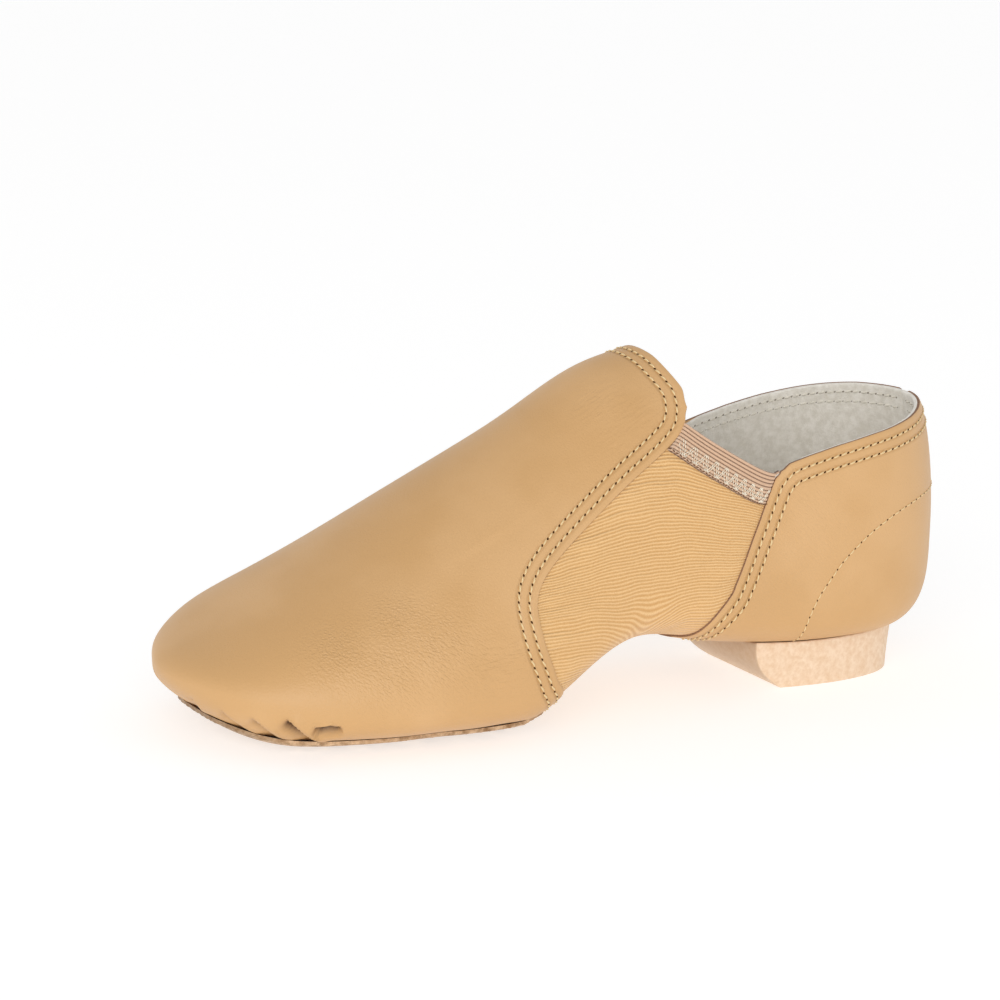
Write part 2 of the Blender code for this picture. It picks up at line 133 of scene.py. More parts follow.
# Lines along the shoe below the collar: the first is the collar, the second the elastic's lower edge and the
# last the underside's middle. Levels are shares of the collar's own level at each crossing.
Line = namedtuple("Line", "back quarter_at quarter vamp_at vamp toe_level")
LINES = [
    Line(1.000, 0.281, 1.000, 0.387, 1.000, 0.76),
    Line(0.950, 0.300, 0.946, 0.422, 0.932, 0.71),
    Line(0.900, 0.308, 0.922, 0.482, 0.895, 0.66),
    Line(0.850, 0.317, 0.898, 0.545, 0.881, 0.61),
    Line(0.800, 0.326, 0.872, 0.592, 0.863, 0.57),
    Line(0.750, 0.336, 0.845, 0.615, 0.832, 0.53),
    Line(0.695, 0.346, 0.820, 0.620, 0.787, 0.49),
    Line(0.635, 0.356, 0.775, 0.614, 0.716, 0.45),
    Line(0.570, 0.365, 0.710, 0.602, 0.650, 0.40),
    Line(0.500, 0.373, 0.615, 0.589, 0.545, 0.36),
    Line(0.415, 0.379, 0.500, 0.582, 0.430, 0.30),
    Line(0.300, 0.383, 0.350, 0.575, 0.290, 0.22),
    Line(0.155, 0.386, 0.185, 0.568, 0.145, 0.11),
    Line(0.000, 0.388, 0.000, 0.563, 0.000, 0.00),
]
COLLAR_LINE = 0
GORE_LINE = 1
SEAT_LINE = len(LINES) - 2
MIDDLE_LINE = len(LINES) - 1

# Layers, as depths under the leather's outside
LEATHER = 0.0010
STRETCH_DEPTH = 0.0012
STRETCH_THICKNESS = 0.0005
LINING_DEPTH = 0.0018
LINING_THICKNESS = 0.0007
INSOLE_DEPTH = 0.0032
INSOLE_THICKNESS = 0.0020
ELASTIC_THICKNESS = 0.0008

RIB_PITCH = 0.00095

TABLE_STEPS = 4000
LEAD = 4
DENSE = 400
WELD = 0.00004
SHARP_EDGE = math.radians(50)


def column(rows, name):
    return [getattr(row, name) for row in rows]


def even_curve(values, run_on):
    """Samples a cubic curve of even bending through evenly spaced values. Past its ends it goes back the way
    it came, or runs on."""
    values = np.array(values, float)
    lead, tail = values[LEAD:0:-1], values[-2 : -2 - LEAD : -1]
    if run_on:
        lead, tail = 2 * values[0] - lead, 2 * values[-1] - tail
    known = np.concatenate([lead, values, tail])
    inner = len(known) - 2
    system = 4 * np.eye(inner) + np.eye(inner, k=1) + np.eye(inner, k=-1)
    bend = np.zeros(len(known))
    bend[1:-1] = np.linalg.solve(system, 6 * np.diff(known, 2))
    x = LEAD + np.linspace(0, len(values) - 1, TABLE_STEPS + 1)
    i = np.minimum(x.astype(int), len(known) - 2)
    t = x - i
    back = 1 - t
    curve = (back**3 - back) * bend[i] + (t**3 - t) * bend[i + 1]
    return back * known[i] + t * known[i + 1] + curve / 6


PLACES = np.linspace(0, 1, TABLE_STEPS + 1)
FORM = {name: even_curve(column(SECTIONS, name), name in RUN_ON) for name in Section._fields}


def place_of(at):
    """The place whose section lies at this share of the length."""
    return np.interp(at, FORM["at"], PLACES)


def underside(found):
    tread = SOLE_THICKNESS + GAP
    seat = HEEL_HEIGHT + GAP
    lift = found["seat"] * (seat - tread) + found["arch"] * ARCH_RISE + found["tip"] * TIP_RISE
    return tread + np.maximum(lift, 0)


def form(s, level, side):
    """Points outside the leather: level 0 at the underside's middle, 0.5 widest, 1 crest; side 1 or -1."""
    found = {name: np.interp(s, PLACES, FORM[name]) for name in Section._fields}
    wide, crest = found["wide"] * INSTEP_HEIGHT, found["crest"] * INSTEP_HEIGHT
    angle = np.pi * np.abs(level - 0.5)
    below = level < 0.5
    power = 2 / np.where(below, found["low"], found["up"])
    out = np.maximum(np.cos(angle), 0) ** power
    rise = np.sin(angle) ** power
    height = wide + rise * np.where(below, underside(found) - wide, crest - wide)
    lean = np.where(below, 0, found["lean"] * rise**LEAN_CURVE)
    at = found["at"]
    at = np.where(at < HEEL_CENTRE, HEEL_CENTRE + out * (at - HEEL_CENTRE), at)
    across = BALL_WIDTH * (found["shift"] + lean + side * out * found["half"])
    return np.stack([across, LENGTH * (0.5 - at), height + 0 * across], axis=-1)


def collar_level(s):
    """How far up its section the collar lies."""
    found = {name: np.interp(s, PLACES, FORM[name]) for name in ("at", "wide", "crest", "up")}
    height = COLLAR_HEIGHT * np.interp(found["at"], column(RIMS, "at"), column(RIMS, "height"))
    wide, crest = found["wide"] * INSTEP_HEIGHT, found["crest"] * INSTEP_HEIGHT
    rise = np.clip((height - wide) / (crest - wide), 0, 1)
    return 0.5 + np.arcsin(rise ** (found["up"] / 2)) / np.pi


CORNER = place_of(LINES[0].quarter_at)
CORNER_LEVEL = collar_level(CORNER)
LINE_CURVES = {name: even_curve(column(LINES, name), True) for name in ("back", "quarter", "vamp", "toe_level")}
LINE_CURVES["quarter_place"] = even_curve(place_of(column(LINES, "quarter_at")), True)
LINE_CURVES["vamp_place"] = even_curve(place_of(column(LINES, "vamp_at")), True)
THROAT_CURVES = {name: even_curve(column(THROATS, name), True) for name in ("level", "toe_level")}
THROAT_CURVES["place"] = even_curve(place_of(column(THROATS, "at")), True)


def on_line(name, line):
    return np.interp(line, PLACES * MIDDLE_LINE, LINE_CURVES[name])


def on_throat(name, line):
    return np.interp(line + THROAT_ROWS, PLACES * THROAT_ROWS, THROAT_CURVES[name])


def mix(a, b, share):
    return a + share * (b - a)


def smooth(share):
    share = np.clip(share, 0, 1)
    return share * share * (3 - 2 * share)


def bell(far, width):
    """1 on the spot, falling away to each side over about this width."""
    return np.exp(-((far / width) ** 2))


def quarter_point(share, line):
    """Place and level between the back seam, share 0, and the quarter's front edge, share 1."""
    s = share * on_line("quarter_place", line)
    part = mix(on_line("back", line), on_line("quarter", line), share)
    return s, part * collar_level(np.minimum(s, CORNER))


def gore_point(share, line):
    """Place and level between the quarter's front edge, share 0, and the vamp's rear edge, share 1."""
    s = mix(on_line("quarter_place", line), on_line("vamp_place", line), share)
    part = mix(on_line("quarter", line), on_line("vamp", line), share)
    return s, part * mix(CORNER_LEVEL, THROAT_LEVEL, np.maximum(share, 0) ** GORE_SAG)


def below_gap(share, line):
    """A gore point under the elastic's free edge, which the pull of the foot draws down."""
    drop = mix(*GORE_DROP, share)
    return gore_point(share, np.where(line < 1, mix(drop, 1, line), line))


def elastic_point(share, line):
    """A point of the elastic, whose lower edge is straighter than the gore's."""
    return below_gap(share, line * (1 - ELASTIC_LIFT * np.sin(np.pi * np.clip(share, 0, 1))))


def under_corner(share, line):
    """A quarter point, drawn down near the front corner so that the lining meets the elastic."""
    drop = CORNER_DROP * smooth((share - 0.90) / 0.10)
    return quarter_point(share, np.where(line < 1, mix(drop, 1, line), line))


def vamp_point(share, line):
    """Place and level between the vamp's rear edge, share 0, and the tip; a line under 0 is on the throat."""
    throat = line < COLLAR_LINE
    s = np.where(throat, on_throat("place", line), on_line("vamp_place", line))
    level = np.where(throat, on_throat("level", line), THROAT_LEVEL * on_line("vamp", line))
    toe = np.where(throat, on_throat("toe_level", line), on_line("toe_level", line))
    return mix(s, 1.0, share), mix(level, toe, share * share * (3 - 2 * share))


def on_form(s, level, side):
    """Points outside the leather, and each one's way out of the shoe."""
    step = 1e-4
    here = form(s, level, side)
    along = form(np.minimum(s + step, 1), level, side) - form(s - step, level, side)
    up = form(s, np.minimum(level + step, 1), side) - form(s, level - step, side)
    normal = np.cross(up, along) * side
    return here, normal / np.maximum(np.linalg.norm(normal, axis=-1, keepdims=True), 1e-12)


# Sheets of points on the form


def spread(route, low, high, count):
    """Values from low to high at which a route's points lie evenly apart."""
    t = np.linspace(low, high, DENSE)
    steps = np.linalg.norm(np.diff(route(t), axis=0), axis=1)
    length = np.concatenate([[0], np.cumsum(steps + 1e-9)])
    return np.interp(np.linspace(0, length[-1], count + 1), length, t)


def stack_lines(point, share, side, stops, counts):
    """Lines at even distances down one side at this share, with a stop kept at each end of each stretch."""
    found = []
    for low, high, count in zip(stops, stops[1:], counts):
        line = spread(lambda t: form(*point(share + 0 * t, t), side), low, high, count)
        found.append(line if not found else line[1:])
    return np.concatenate(found)


def side_sheet(point, shares, side, stops, counts):
    """Points and their lines over one side, rows down the shoe's side and columns along it."""
    lines = np.stack([stack_lines(point, share, side, stops, counts) for share in shares], axis=1)
    return form(*point(np.array(shares)[None, :], lines), side), lines


def normals_of(points):
    """Each point's way out of the shoe, from the sheet through them."""
    along, down = np.gradient(points, axis=1), np.gradient(points, axis=0)
    normal = np.cross(down, along)
    size = np.linalg.norm(normal, axis=-1, keepdims=True)
    normal = normal / np.maximum(size, 1e-12)
    inside = np.array([0, 0, 0.03]) + points * np.array([0, 1, 0])
    if (normal * (points - inside)).sum() < 0:
        normal = -normal
    return normal


def distance_to(points, path):
    """Each point's distance from a path, and how far along the path its nearest place is."""
    flat = np.asarray(points).reshape(-1, 3)
    a, b = path[:-1], path[1:]
    way = b - a
    span = np.maximum((way**2).sum(1), 1e-14)
    begin = np.concatenate([[0], np.cumsum(np.sqrt(span))])[:-1]
    far, along = [], []
    for chunk in np.array_split(flat, max(1, len(flat) // 4000)):
        gap = chunk[:, None] - a
        t = np.clip((gap * way).sum(2) / span, 0, 1)
        off = np.linalg.norm(gap - t[..., None] * way, axis=2)
        best = off.argmin(1)
        rows = np.arange(len(chunk))
        far.append(off[rows, best])
        along.append(begin[best] + t[rows, best] * np.sqrt(span[best]))
    shape = np.asarray(points).shape[:-1]
    return np.concatenate(far).reshape(shape), np.concatenate(along).reshape(shape)


def evenly(path, pitch):
    """The path's points again, evenly spaced at about this pitch."""
    length = np.concatenate([[0], np.cumsum(np.linalg.norm(np.diff(path, axis=0), axis=1))])
    marks = np.linspace(0, length[-1], max(2, round(length[-1] / pitch) + 1))
    return np.stack([np.interp(marks, length, path[:, k]) for k in range(3)], axis=1)


def relaxed(path, times):
    path = path.copy()
    for _ in range(times):
        path[1:-1] = (path[:-2] + 2 * path[1:-1] + path[2:]) / 4
    return path


def rounded(points, corner, towards, reach, pull):
    """Draws a panel's corner back, so that it is round, or out where pull is under 0."""
    away = np.linalg.norm(points - points[corner], axis=-1, keepdims=True)
    way = points[towards] - points[corner]
    return points + pull * np.maximum(1 - (away / reach) ** 2, 0) ** 2 * way / np.linalg.norm(way)


# The toe's pleats. Each runs from its top to the sole's edge, given as shares of the length and levels on one
# side; the leather in front of it drops by its depth and comes back out over its width. A closed one is a
# pocket that ends before the sole's edge; the others run on under the sole.
Pleat = namedtuple("Pleat", "side at level foot_at foot_level depth width closed")
PLEATS = [
    Pleat(1, 0.9701, 0.312, 0.940, 0.200, 0.0018, 0.0032, False),
    Pleat(1, 0.9497, 0.396, 0.917, 0.250, 0.0024, 0.0032, False),
    Pleat(1, 0.9200, 0.456, 0.888, 0.300, 0.0052, 0.0028, False),
    Pleat(1, 0.8880, 0.378, 0.858, 0.394, 0.0052, 0.0020, True),
    Pleat(1, 0.9880, 0.220, 0.968, 0.050, 0.0012, 0.0028, False),
    Pleat(-1, 0.9930, 0.300, 0.965, 0.040, 0.0014, 0.0030, False),
    Pleat(-1, 0.9820, 0.340, 0.950, 0.180, 0.0018, 0.0032, False),
    Pleat(-1, 0.9600, 0.400, 0.930, 0.250, 0.0024, 0.0032, False),
    Pleat(-1, 0.9300, 0.430, 0.900, 0.280, 0.0030, 0.0028, False),
    Pleat(-1, 0.8920, 0.360, 0.862, 0.380, 0.0036, 0.0015, True),
]

# A pleat's steep side; the share of its length over which it deepens from its top, and how much shallower it
# is at its foot; and behind it the swell of the leather: its height as a share of the depth, its middle's
# distance and its width
PLEAT_EDGE = 0.0007
PLEAT_START = 1 / 3.2
PLEAT_FADE = 0.55
PLEAT_SWELL = 0.22
PLEAT_SWELL_AT = 0.0022
PLEAT_SWELL_WIDTH = 0.0016


def pleated(points):
    """How far the toe's pleats draw each point in."""
    depth = np.zeros(points.shape[:-1])
    share = np.linspace(0, 1, 9)
    for pleat in PLEATS:
        s, level = place_of(mix(pleat.at, pleat.foot_at, share)), mix(pleat.level, pleat.foot_level, share)
        path, normals = on_form(s, level, pleat.side)
        if not pleat.closed:
            path = np.concatenate([path, path[-1:] + 3.0 * (path[-1:] - path[-2:-1])])
        away, along = distance_to(points, path)
        run = np.clip(along / np.linalg.norm(path[-1] - path[0]), 0, 1)
        forward = np.cross(normals[4], path[-1] - path[0])
        forward /= np.linalg.norm(forward)
        if forward[1] + forward[2] > 0:
            forward = -forward
        signed = ((points - path[4]) @ forward > 0) * 2 - 1
        reach = np.where((signed > 0) | pleat.closed, pleat.width, PLEAT_EDGE)
        if pleat.closed:
            fade = np.sin(np.pi * run) ** 0.7
        else:
            fade = np.sin(np.pi / 2 * np.clip(run / PLEAT_START, 0, 1)) ** 2 * (1 - PLEAT_FADE * run)
        swell = PLEAT_SWELL * (signed < 0) * bell(away - PLEAT_SWELL_AT, PLEAT_SWELL_WIDTH)
        pull = pleat.depth * fade * (bell(away, reach) - swell)
        depth = np.where(np.abs(pull) > np.abs(depth), pull, depth)
    return depth


# Meshes


def sheet_mesh(points, normals, thickness, unwanted=None, edge_round=0.0, inner_material=0, edge_material=0):
    """A closed wall: the sheet through the points, with its thickness towards the foot."""
    rows, columns = points.shape[:2]
    shape = bmesh.new()
    bmesh.ops.create_grid(shape, x_segments=columns - 1, y_segments=rows - 1, size=0.5)
    out = shape.verts.layers.float_vector.new("out")
    spots = {}
    for vert in shape.verts:
        spot = round((vert.co.y + 0.5) * (rows - 1)), round((vert.co.x + 0.5) * (columns - 1))
        spots[vert] = spot
    if unwanted is not None:
        gone = []
        for face in shape.faces:
            row = sum(spots[vert][0] for vert in face.verts) / 4
            place = sum(spots[vert][1] for vert in face.verts) / 4
            if unwanted[int(row), int(place)]:
                gone.append(face)
        bmesh.ops.delete(shape, geom=gone, context="FACES")
    for vert in shape.verts:
        vert.co, vert[out] = points[spots[vert]], normals[spots[vert]]
    bmesh.ops.remove_doubles(shape, verts=shape.verts, dist=WELD)
    bmesh.ops.dissolve_degenerate(shape, edges=shape.edges, dist=WELD)
    outer = set(shape.faces)
    made = bmesh.ops.extrude_face_region(shape, geom=list(shape.faces))
    inner = set()
    for item in made["geom"]:
        if isinstance(item, bmesh.types.BMVert):
            item.co -= item[out] * thickness
        elif isinstance(item, bmesh.types.BMFace):
            inner.add(item)
    bmesh.ops.recalc_face_normals(shape, faces=shape.faces)
    for face in shape.faces:
        if face in inner:
            face.material_index = inner_material
        elif face not in outer:
            face.material_index = edge_material
    walls = {face for face in shape.faces if face not in inner and face not in outer}
    if edge_round:
        sides = {edge: [face in walls for face in edge.link_faces] for edge in shape.edges}
        rim = [edge for edge, walled in sides.items() if len(walled) == 2 and walled[0] != walled[1]]
        soft = {"offset": edge_round, "segments": 2, "profile": 0.5, "affect": "EDGES", "material": -1}
        bmesh.ops.bevel(shape, geom=rim, **soft)
    return shape


def set_attribute(mesh, name, values):
    made = mesh.attributes.new(name, "FLOAT", "POINT")
    made.data.foreach_set("value", np.asarray(values, np.float32).ravel())


def places(mesh):
    found = np.empty(len(mesh.vertices) * 3, np.float32)
    mesh.vertices.foreach_get("co", found)
    return found.reshape(-1, 3).astype(float)


def new_piece(name, shape, materials, slot, *replaced):
    """Makes an object of the mesh: it rides on the shoe and stands for the CAD nodes named."""
    mesh = bpy.data.meshes.new(name)
    shape.to_mesh(mesh)
    shape.free()
    if "out" in mesh.attributes:
        mesh.attributes.remove(mesh.attributes["out"])
    mesh.shade_smooth()
    mesh.set_sharp_from_angle(angle=SHARP_EDGE)
    for material in materials:
        mesh.materials.append(material)
    piece = bpy.data.objects.new(name, mesh)
    bpy.context.scene.collection.objects.link(piece)
    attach(piece, "root")
    if replaced:
        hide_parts(*replaced)
    return piece


# The form's panels, as points at the resolution of the looks

VAMP_COLUMNS = 190
VAMP_THROAT_ROWS = 34
VAMP_SIDE_ROWS = 66
QUARTER_COLUMNS = 120
QUARTER_ROWS = 96
GORE_COLUMNS = 70
GORE_ROWS = 96
TREAD_END = 0.68
SEAT_END = 0.70


def whole_width(medial, lateral):
    """One sheet from the medial underside over the crest to the lateral underside."""
    return np.concatenate([medial[::-1], lateral[1:]])


def vamp_sheet():
    shares = spread(lambda t: form(*vamp_point(t, 3.0 + 0 * t), 1), 0, 1, VAMP_COLUMNS)
    stops, counts = (-THROAT_ROWS, COLLAR_LINE, MIDDLE_LINE), (VAMP_THROAT_ROWS, VAMP_SIDE_ROWS)
    lateral, lateral_lines = side_sheet(vamp_point, shares, 1, stops, counts)
    medial, medial_lines = side_sheet(vamp_point, shares, -1, stops, counts)
    points, lines = whole_width(medial, lateral), whole_width(medial_lines, lateral_lines)
    return points, lines, shares


def quarter_sheet(side):
    shares = spread(lambda t: form(*quarter_point(t, 2.0 + 0 * t), side), 0, 1, QUARTER_COLUMNS)
    points, lines = side_sheet(quarter_point, shares, side, (COLLAR_LINE, MIDDLE_LINE), (QUARTER_ROWS,))
    return points, lines, shares


def cells(values):
    """Each cell's middle value, from the values at the corners."""
    return (values[:-1, :-1] + values[1:, :-1] + values[:-1, 1:] + values[1:, 1:]) / 4


# Materials


def linear(code):
    """The linear colour of an sRGB hex value."""
    parts = [int(code[k : k + 2], 16) / 255 for k in (0, 2, 4)]
    return tuple(part / 12.92 if part <= 0.04045 else ((part + 0.055) / 1.055) ** 2.4 for part in parts)


def add_node(tree, kind, settings=None, inputs=None, output=0):
    """Adds a node with its settings and gives its output; an input given a socket is linked to it."""
    made = tree.nodes.new("ShaderNode" + kind)
    for name, value in (settings or {}).items():
        setattr(made, name, value)
    for name, value in (inputs or {}).items():
        if isinstance(value, bpy.types.NodeSocket):
            tree.links.new(value, made.inputs[name])
        elif made.inputs[name].type == "RGBA":
            made.inputs[name].default_value = (*value, 1.0)
        else:
            made.inputs[name].default_value = value
    return made.outputs[output]


# Settings of the nodes used most, and a colour mix's output
MULTIPLY = {"operation": "MULTIPLY"}
MULTIPLY_ADD = {"operation": "MULTIPLY_ADD"}
SUBTRACT = {"operation": "SUBTRACT"}
SINE = {"operation": "SINE"}
EASED = {"interpolation_type": "SMOOTHSTEP"}
COLOURS = {"data_type": "RGBA"}
MIXED = 2


def start_material(name, roughness, inputs=None):
    """A material with its own shader; returns it with its tree, its shader and its Object coordinates."""
    material = bpy.data.materials.new(name)
    material.use_nodes = True
    tree = material.node_tree
    shader = tree.nodes["Principled BSDF"]
    shader.inputs["Roughness"].default_value = roughness
    for key, value in (inputs or {}).items():
        shader.inputs[key].default_value = value
    return material, tree, shader, add_node(tree, "TexCoord", output="Object")


# Wrinkles in the leather: the attribute that says where, their slope seen from the side, their width and
# depth, and how much shorter than long they are drawn
WRINKLES = [
    ("wrinkle_side", 42, 0.60 * MM, 0.15 * MM),
    ("wrinkle_throat", -36, 0.9 * MM, 0.10 * MM),
    ("wrinkle_edge", -6, 1.0 * MM, 0.20 * MM),
]
WRINKLE_STRETCH = 0.22

# Leather: its cloudy patches, its pebbles and the pores between them, and the groove that a row of stitches
# draws, each with a width and most with a depth
CLOUD_SIZE = 35 * MM
PEBBLE_SIZE = 1.1 * MM
PEBBLE_DEPTH = 0.022 * MM
PORE_SIZE = 0.45 * MM
PORE_DEPTH = 0.06 * MM
ROW_GROOVE_WIDTH = 1.2 * MM
ROW_GROOVE_DEPTH = 0.38 * MM


def leather_material(colours, sizes):
    """Drum-dyed full-grain cowhide with a pigmented satin finish: even tan, fine pebble grain, soft gloss."""
    name, inputs = "full_grain_tan_leather", {"Specular IOR Level": 0.5}
    material, tree, shader, where = start_material(name, 0.46, inputs)
    cloud = add_node(tree, "TexNoise", None, {"Vector": where, "Scale": 1 / CLOUD_SIZE, "Detail": 3.0})
    patch = add_node(tree, "MapRange", EASED, {"Value": cloud, "From Min": 0.35, "From Max": 0.65})
    tone = add_node(tree, "Mix", COLOURS, {0: patch, 6: colours.leather, 7: colours.leather_deep}, MIXED)
    # Painted shade: the fold attribute draws the leather darker in the toe's pleats
    fold = add_node(tree, "Attribute", {"attribute_name": "fold"}, output="Fac")
    tone = add_node(tree, "Mix", COLOURS, {0: fold, 6: tone, 7: colours.fold_shade_and_dark_fibre}, MIXED)
    margin = add_node(tree, "Attribute", {"attribute_name": "margin"}, output="Fac")
    dyed = add_node(tree, "MapRange", EASED, {"Value": margin, "From Min": 0.1 * MM, "From Max": 0.7 * MM})
    worn = add_node(tree, "Math", SUBTRACT, {0: 1.0, 1: dyed})
    tone = add_node(tree, "Mix", COLOURS, {0: worn, 6: tone, 7: colours.cut_edge}, MIXED)
    tree.links.new(tone, shader.inputs["Base Color"])
    inputs = {"Vector": where, "Scale": 1 / PEBBLE_SIZE}
    cell = add_node(tree, "TexVoronoi", {"feature": "DISTANCE_TO_EDGE"}, inputs, "Distance")
    pebble = add_node(tree, "MapRange", EASED, {"Value": cell, "From Min": 0.0, "From Max": 0.25})
    pore = add_node(tree, "TexNoise", None, {"Vector": where, "Scale": 1 / PORE_SIZE})
    height = add_node(tree, "Math", MULTIPLY, {0: pebble, 1: PEBBLE_DEPTH})
    height = add_node(tree, "Math", MULTIPLY_ADD, {0: pore, 1: PORE_DEPTH, 2: height})
    for kind, slope, size, depth in WRINKLES:
        turned = add_node(tree, "Mapping", None, {"Vector": where, "Rotation": (math.radians(slope), 0, 0)})
        drawn = add_node(tree, "Mapping", None, {"Vector": turned, "Scale": (1, WRINKLE_STRETCH, 1)})
        inputs = {"Vector": drawn, "Scale": 1 / size, "Detail": 1.0, "Distortion": 0.15}
        wave = add_node(tree, "TexNoise", None, inputs)
        wrinkle = add_node(tree, "MapRange", EASED, {"Value": wave, "From Min": 0.3, "From Max": 0.7})
        zone = add_node(tree, "Attribute", {"attribute_name": kind}, output="Fac")
        marked = add_node(tree, "Math", MULTIPLY, {0: wrinkle, 1: zone})
        height = add_node(tree, "Math", MULTIPLY_ADD, {0: marked, 1: depth, 2: height})
    for row in (sizes.first_row, sizes.first_row + sizes.row_gap):
        off = add_node(tree, "Math", SUBTRACT, {0: margin, 1: row})
        away = add_node(tree, "Math", {"operation": "ABSOLUTE"}, {0: off})
        inputs = {"Value": away, "From Min": 0.0, "From Max": ROW_GROOVE_WIDTH}
        groove = add_node(tree, "MapRange", EASED, inputs)
        height = add_node(tree, "Math", MULTIPLY_ADD, {0: groove, 1: ROW_GROOVE_DEPTH, 2: height})
    bump = add_node(tree, "Bump", None, {"Height": height, "Distance": 1.0, "Strength": 1.0})
    tree.links.new(bump, shader.inputs["Normal"])
    return material


def cut_edge_material(colours):
    """The cut side of the leather: undyed fibre, pinkish and rough."""
    material, tree, shader, where = start_material("raw_leather_edge", 0.85)
    patch = add_node(tree, "TexNoise", None, {"Vector": where, "Scale": 1 / (0.5 * MM)})
    tone = add_node(tree, "Mix", COLOURS, {0: patch, 6: colours.cut_edge, 7: colours.fold_shade_and_dark_fibre}, MIXED)
    tree.links.new(tone, shader.inputs["Base Color"])
    fibre = add_node(tree, "TexNoise", None, {"Vector": where, "Scale": 1 / (0.3 * MM)})
    height = add_node(tree, "Math", MULTIPLY, {0: fibre, 1: 0.15 * MM})
    bump = add_node(tree, "Bump", None, {"Height": height, "Distance": 1.0, "Strength": 1.0})
    tree.links.new(bump, shader.inputs["Normal"])
    return material


# Stretch fabric: how far and over what length its ribs sway, the size of the pulls across and along the
# ribs, and the depths of ribs, weave and pulls
SWAY_SIZE = 14 * MM
SWAY = 2.6 * MM
PULL_ACROSS = 3.6 * MM
PULL_ALONG = 24 * MM
RIB_DEPTH = 0.13 * MM
WEAVE_SIZE = 0.4 * MM
WEAVE_DEPTH = 0.08 * MM
PULL_DEPTH = 0.50 * MM


def stretch_material(colours):
    """Ribbed elastane twill: fine crosswise ribs under tension, orange-tan, dull with a soft fabric sheen."""
    inputs = {"Sheen Weight": 0.25, "Sheen Roughness": 0.5}
    material, tree, shader, where = start_material("elastane_rib_fabric", 0.8, inputs)
    rib = add_node(tree, "Attribute", {"attribute_name": "rib"}, output="Fac")
    y = add_node(tree, "SeparateXYZ", None, {0: where}, "Y")
    sway = add_node(tree, "TexNoise", None, {"Vector": where, "Scale": 1 / SWAY_SIZE, "Detail": 1.0})
    upright = add_node(tree, "Math", MULTIPLY_ADD, {0: sway, 1: SWAY, 2: rib})
    phase = add_node(tree, "Math", MULTIPLY, {0: upright, 1: 2 * math.pi / RIB_PITCH})
    wave = add_node(tree, "Math", SINE, {0: phase})
    wave = add_node(tree, "Math", MULTIPLY_ADD, {0: wave, 1: 0.5, 2: 0.5})
    across = add_node(tree, "Math", {"operation": "DIVIDE"}, {0: upright, 1: PULL_ACROSS})
    along = add_node(tree, "Math", {"operation": "DIVIDE"}, {0: y, 1: PULL_ALONG})
    flat = add_node(tree, "CombineXYZ", None, {0: across, 1: along})
    pull = add_node(tree, "TexNoise", None, {"Vector": flat, "Scale": 1.0})
    pull = add_node(tree, "MapRange", EASED, {"Value": pull, "From Min": 0.3, "From Max": 0.7})
    gather = add_node(tree, "Attribute", {"attribute_name": "gather"}, output="Fac")
    pull = add_node(tree, "Math", MULTIPLY, {0: pull, 1: gather})
    weave = add_node(tree, "TexNoise", None, {"Vector": where, "Scale": 1 / WEAVE_SIZE, "Detail": 1.0})
    # Painted shade and light: grooves and the pulls' hollows drawn darker, ridges and the pulls' tops lighter;
    # the weave adds a random tone
    ridge = add_node(tree, "Math", MULTIPLY, {0: wave, 1: 0.45})
    raised = add_node(tree, "Math", MULTIPLY_ADD, {0: weave, 1: 0.5, 2: ridge})
    raised = add_node(tree, "Math", MULTIPLY_ADD, {0: pull, 1: 0.08, 2: raised})
    raised = add_node(tree, "MapRange", EASED, {"Value": raised, "From Min": 0.15, "From Max": 0.85})
    tone = add_node(tree, "Mix", COLOURS, {0: raised, 6: colours.stretch_deep, 7: colours.stretch}, MIXED)
    tree.links.new(tone, shader.inputs["Base Color"])
    height = add_node(tree, "Math", MULTIPLY, {0: wave, 1: RIB_DEPTH})
    height = add_node(tree, "Math", MULTIPLY_ADD, {0: weave, 1: WEAVE_DEPTH, 2: height})
    height = add_node(tree, "Math", MULTIPLY_ADD, {0: pull, 1: PULL_DEPTH, 2: height})
    bump = add_node(tree, "Bump", None, {"Height": height, "Distance": 1.0, "Strength": 1.0})
    tree.links.new(bump, shader.inputs["Normal"])
    return material


def lining_material(colours):
    """Grey microfibre suede: a short mottled nap, no gloss."""
    inputs = {"Sheen Weight": 0.4, "Sheen Roughness": 0.4, "Specular IOR Level": 0.2}
    material, tree, shader, where = start_material("microfibre_suede", 0.95, inputs)
    inputs = {"Vector": where, "Scale": 1 / (2.4 * MM), "Detail": 4.0, "Roughness": 0.65}
    patch = add_node(tree, "TexNoise", None, inputs)
    patch = add_node(tree, "MapRange", EASED, {"Value": patch, "From Min": 0.3, "From Max": 0.7})
    tone = add_node(tree, "Mix", COLOURS, {0: patch, 6: colours.lining_deep, 7: colours.lining}, MIXED)
    tree.links.new(tone, shader.inputs["Base Color"])
    inputs = {"Vector": where, "Scale": 1 / (0.5 * MM), "Detail": 3.0, "Roughness": 0.7}
    nap = add_node(tree, "TexNoise", None, inputs)
    height = add_node(tree, "Math", MULTIPLY, {0: nap, 1: 0.18 * MM})
    bump = add_node(tree, "Bump", None, {"Height": height, "Distance": 1.0, "Strength": 1.0})
    tree.links.new(bump, shader.inputs["Normal"])
    return material


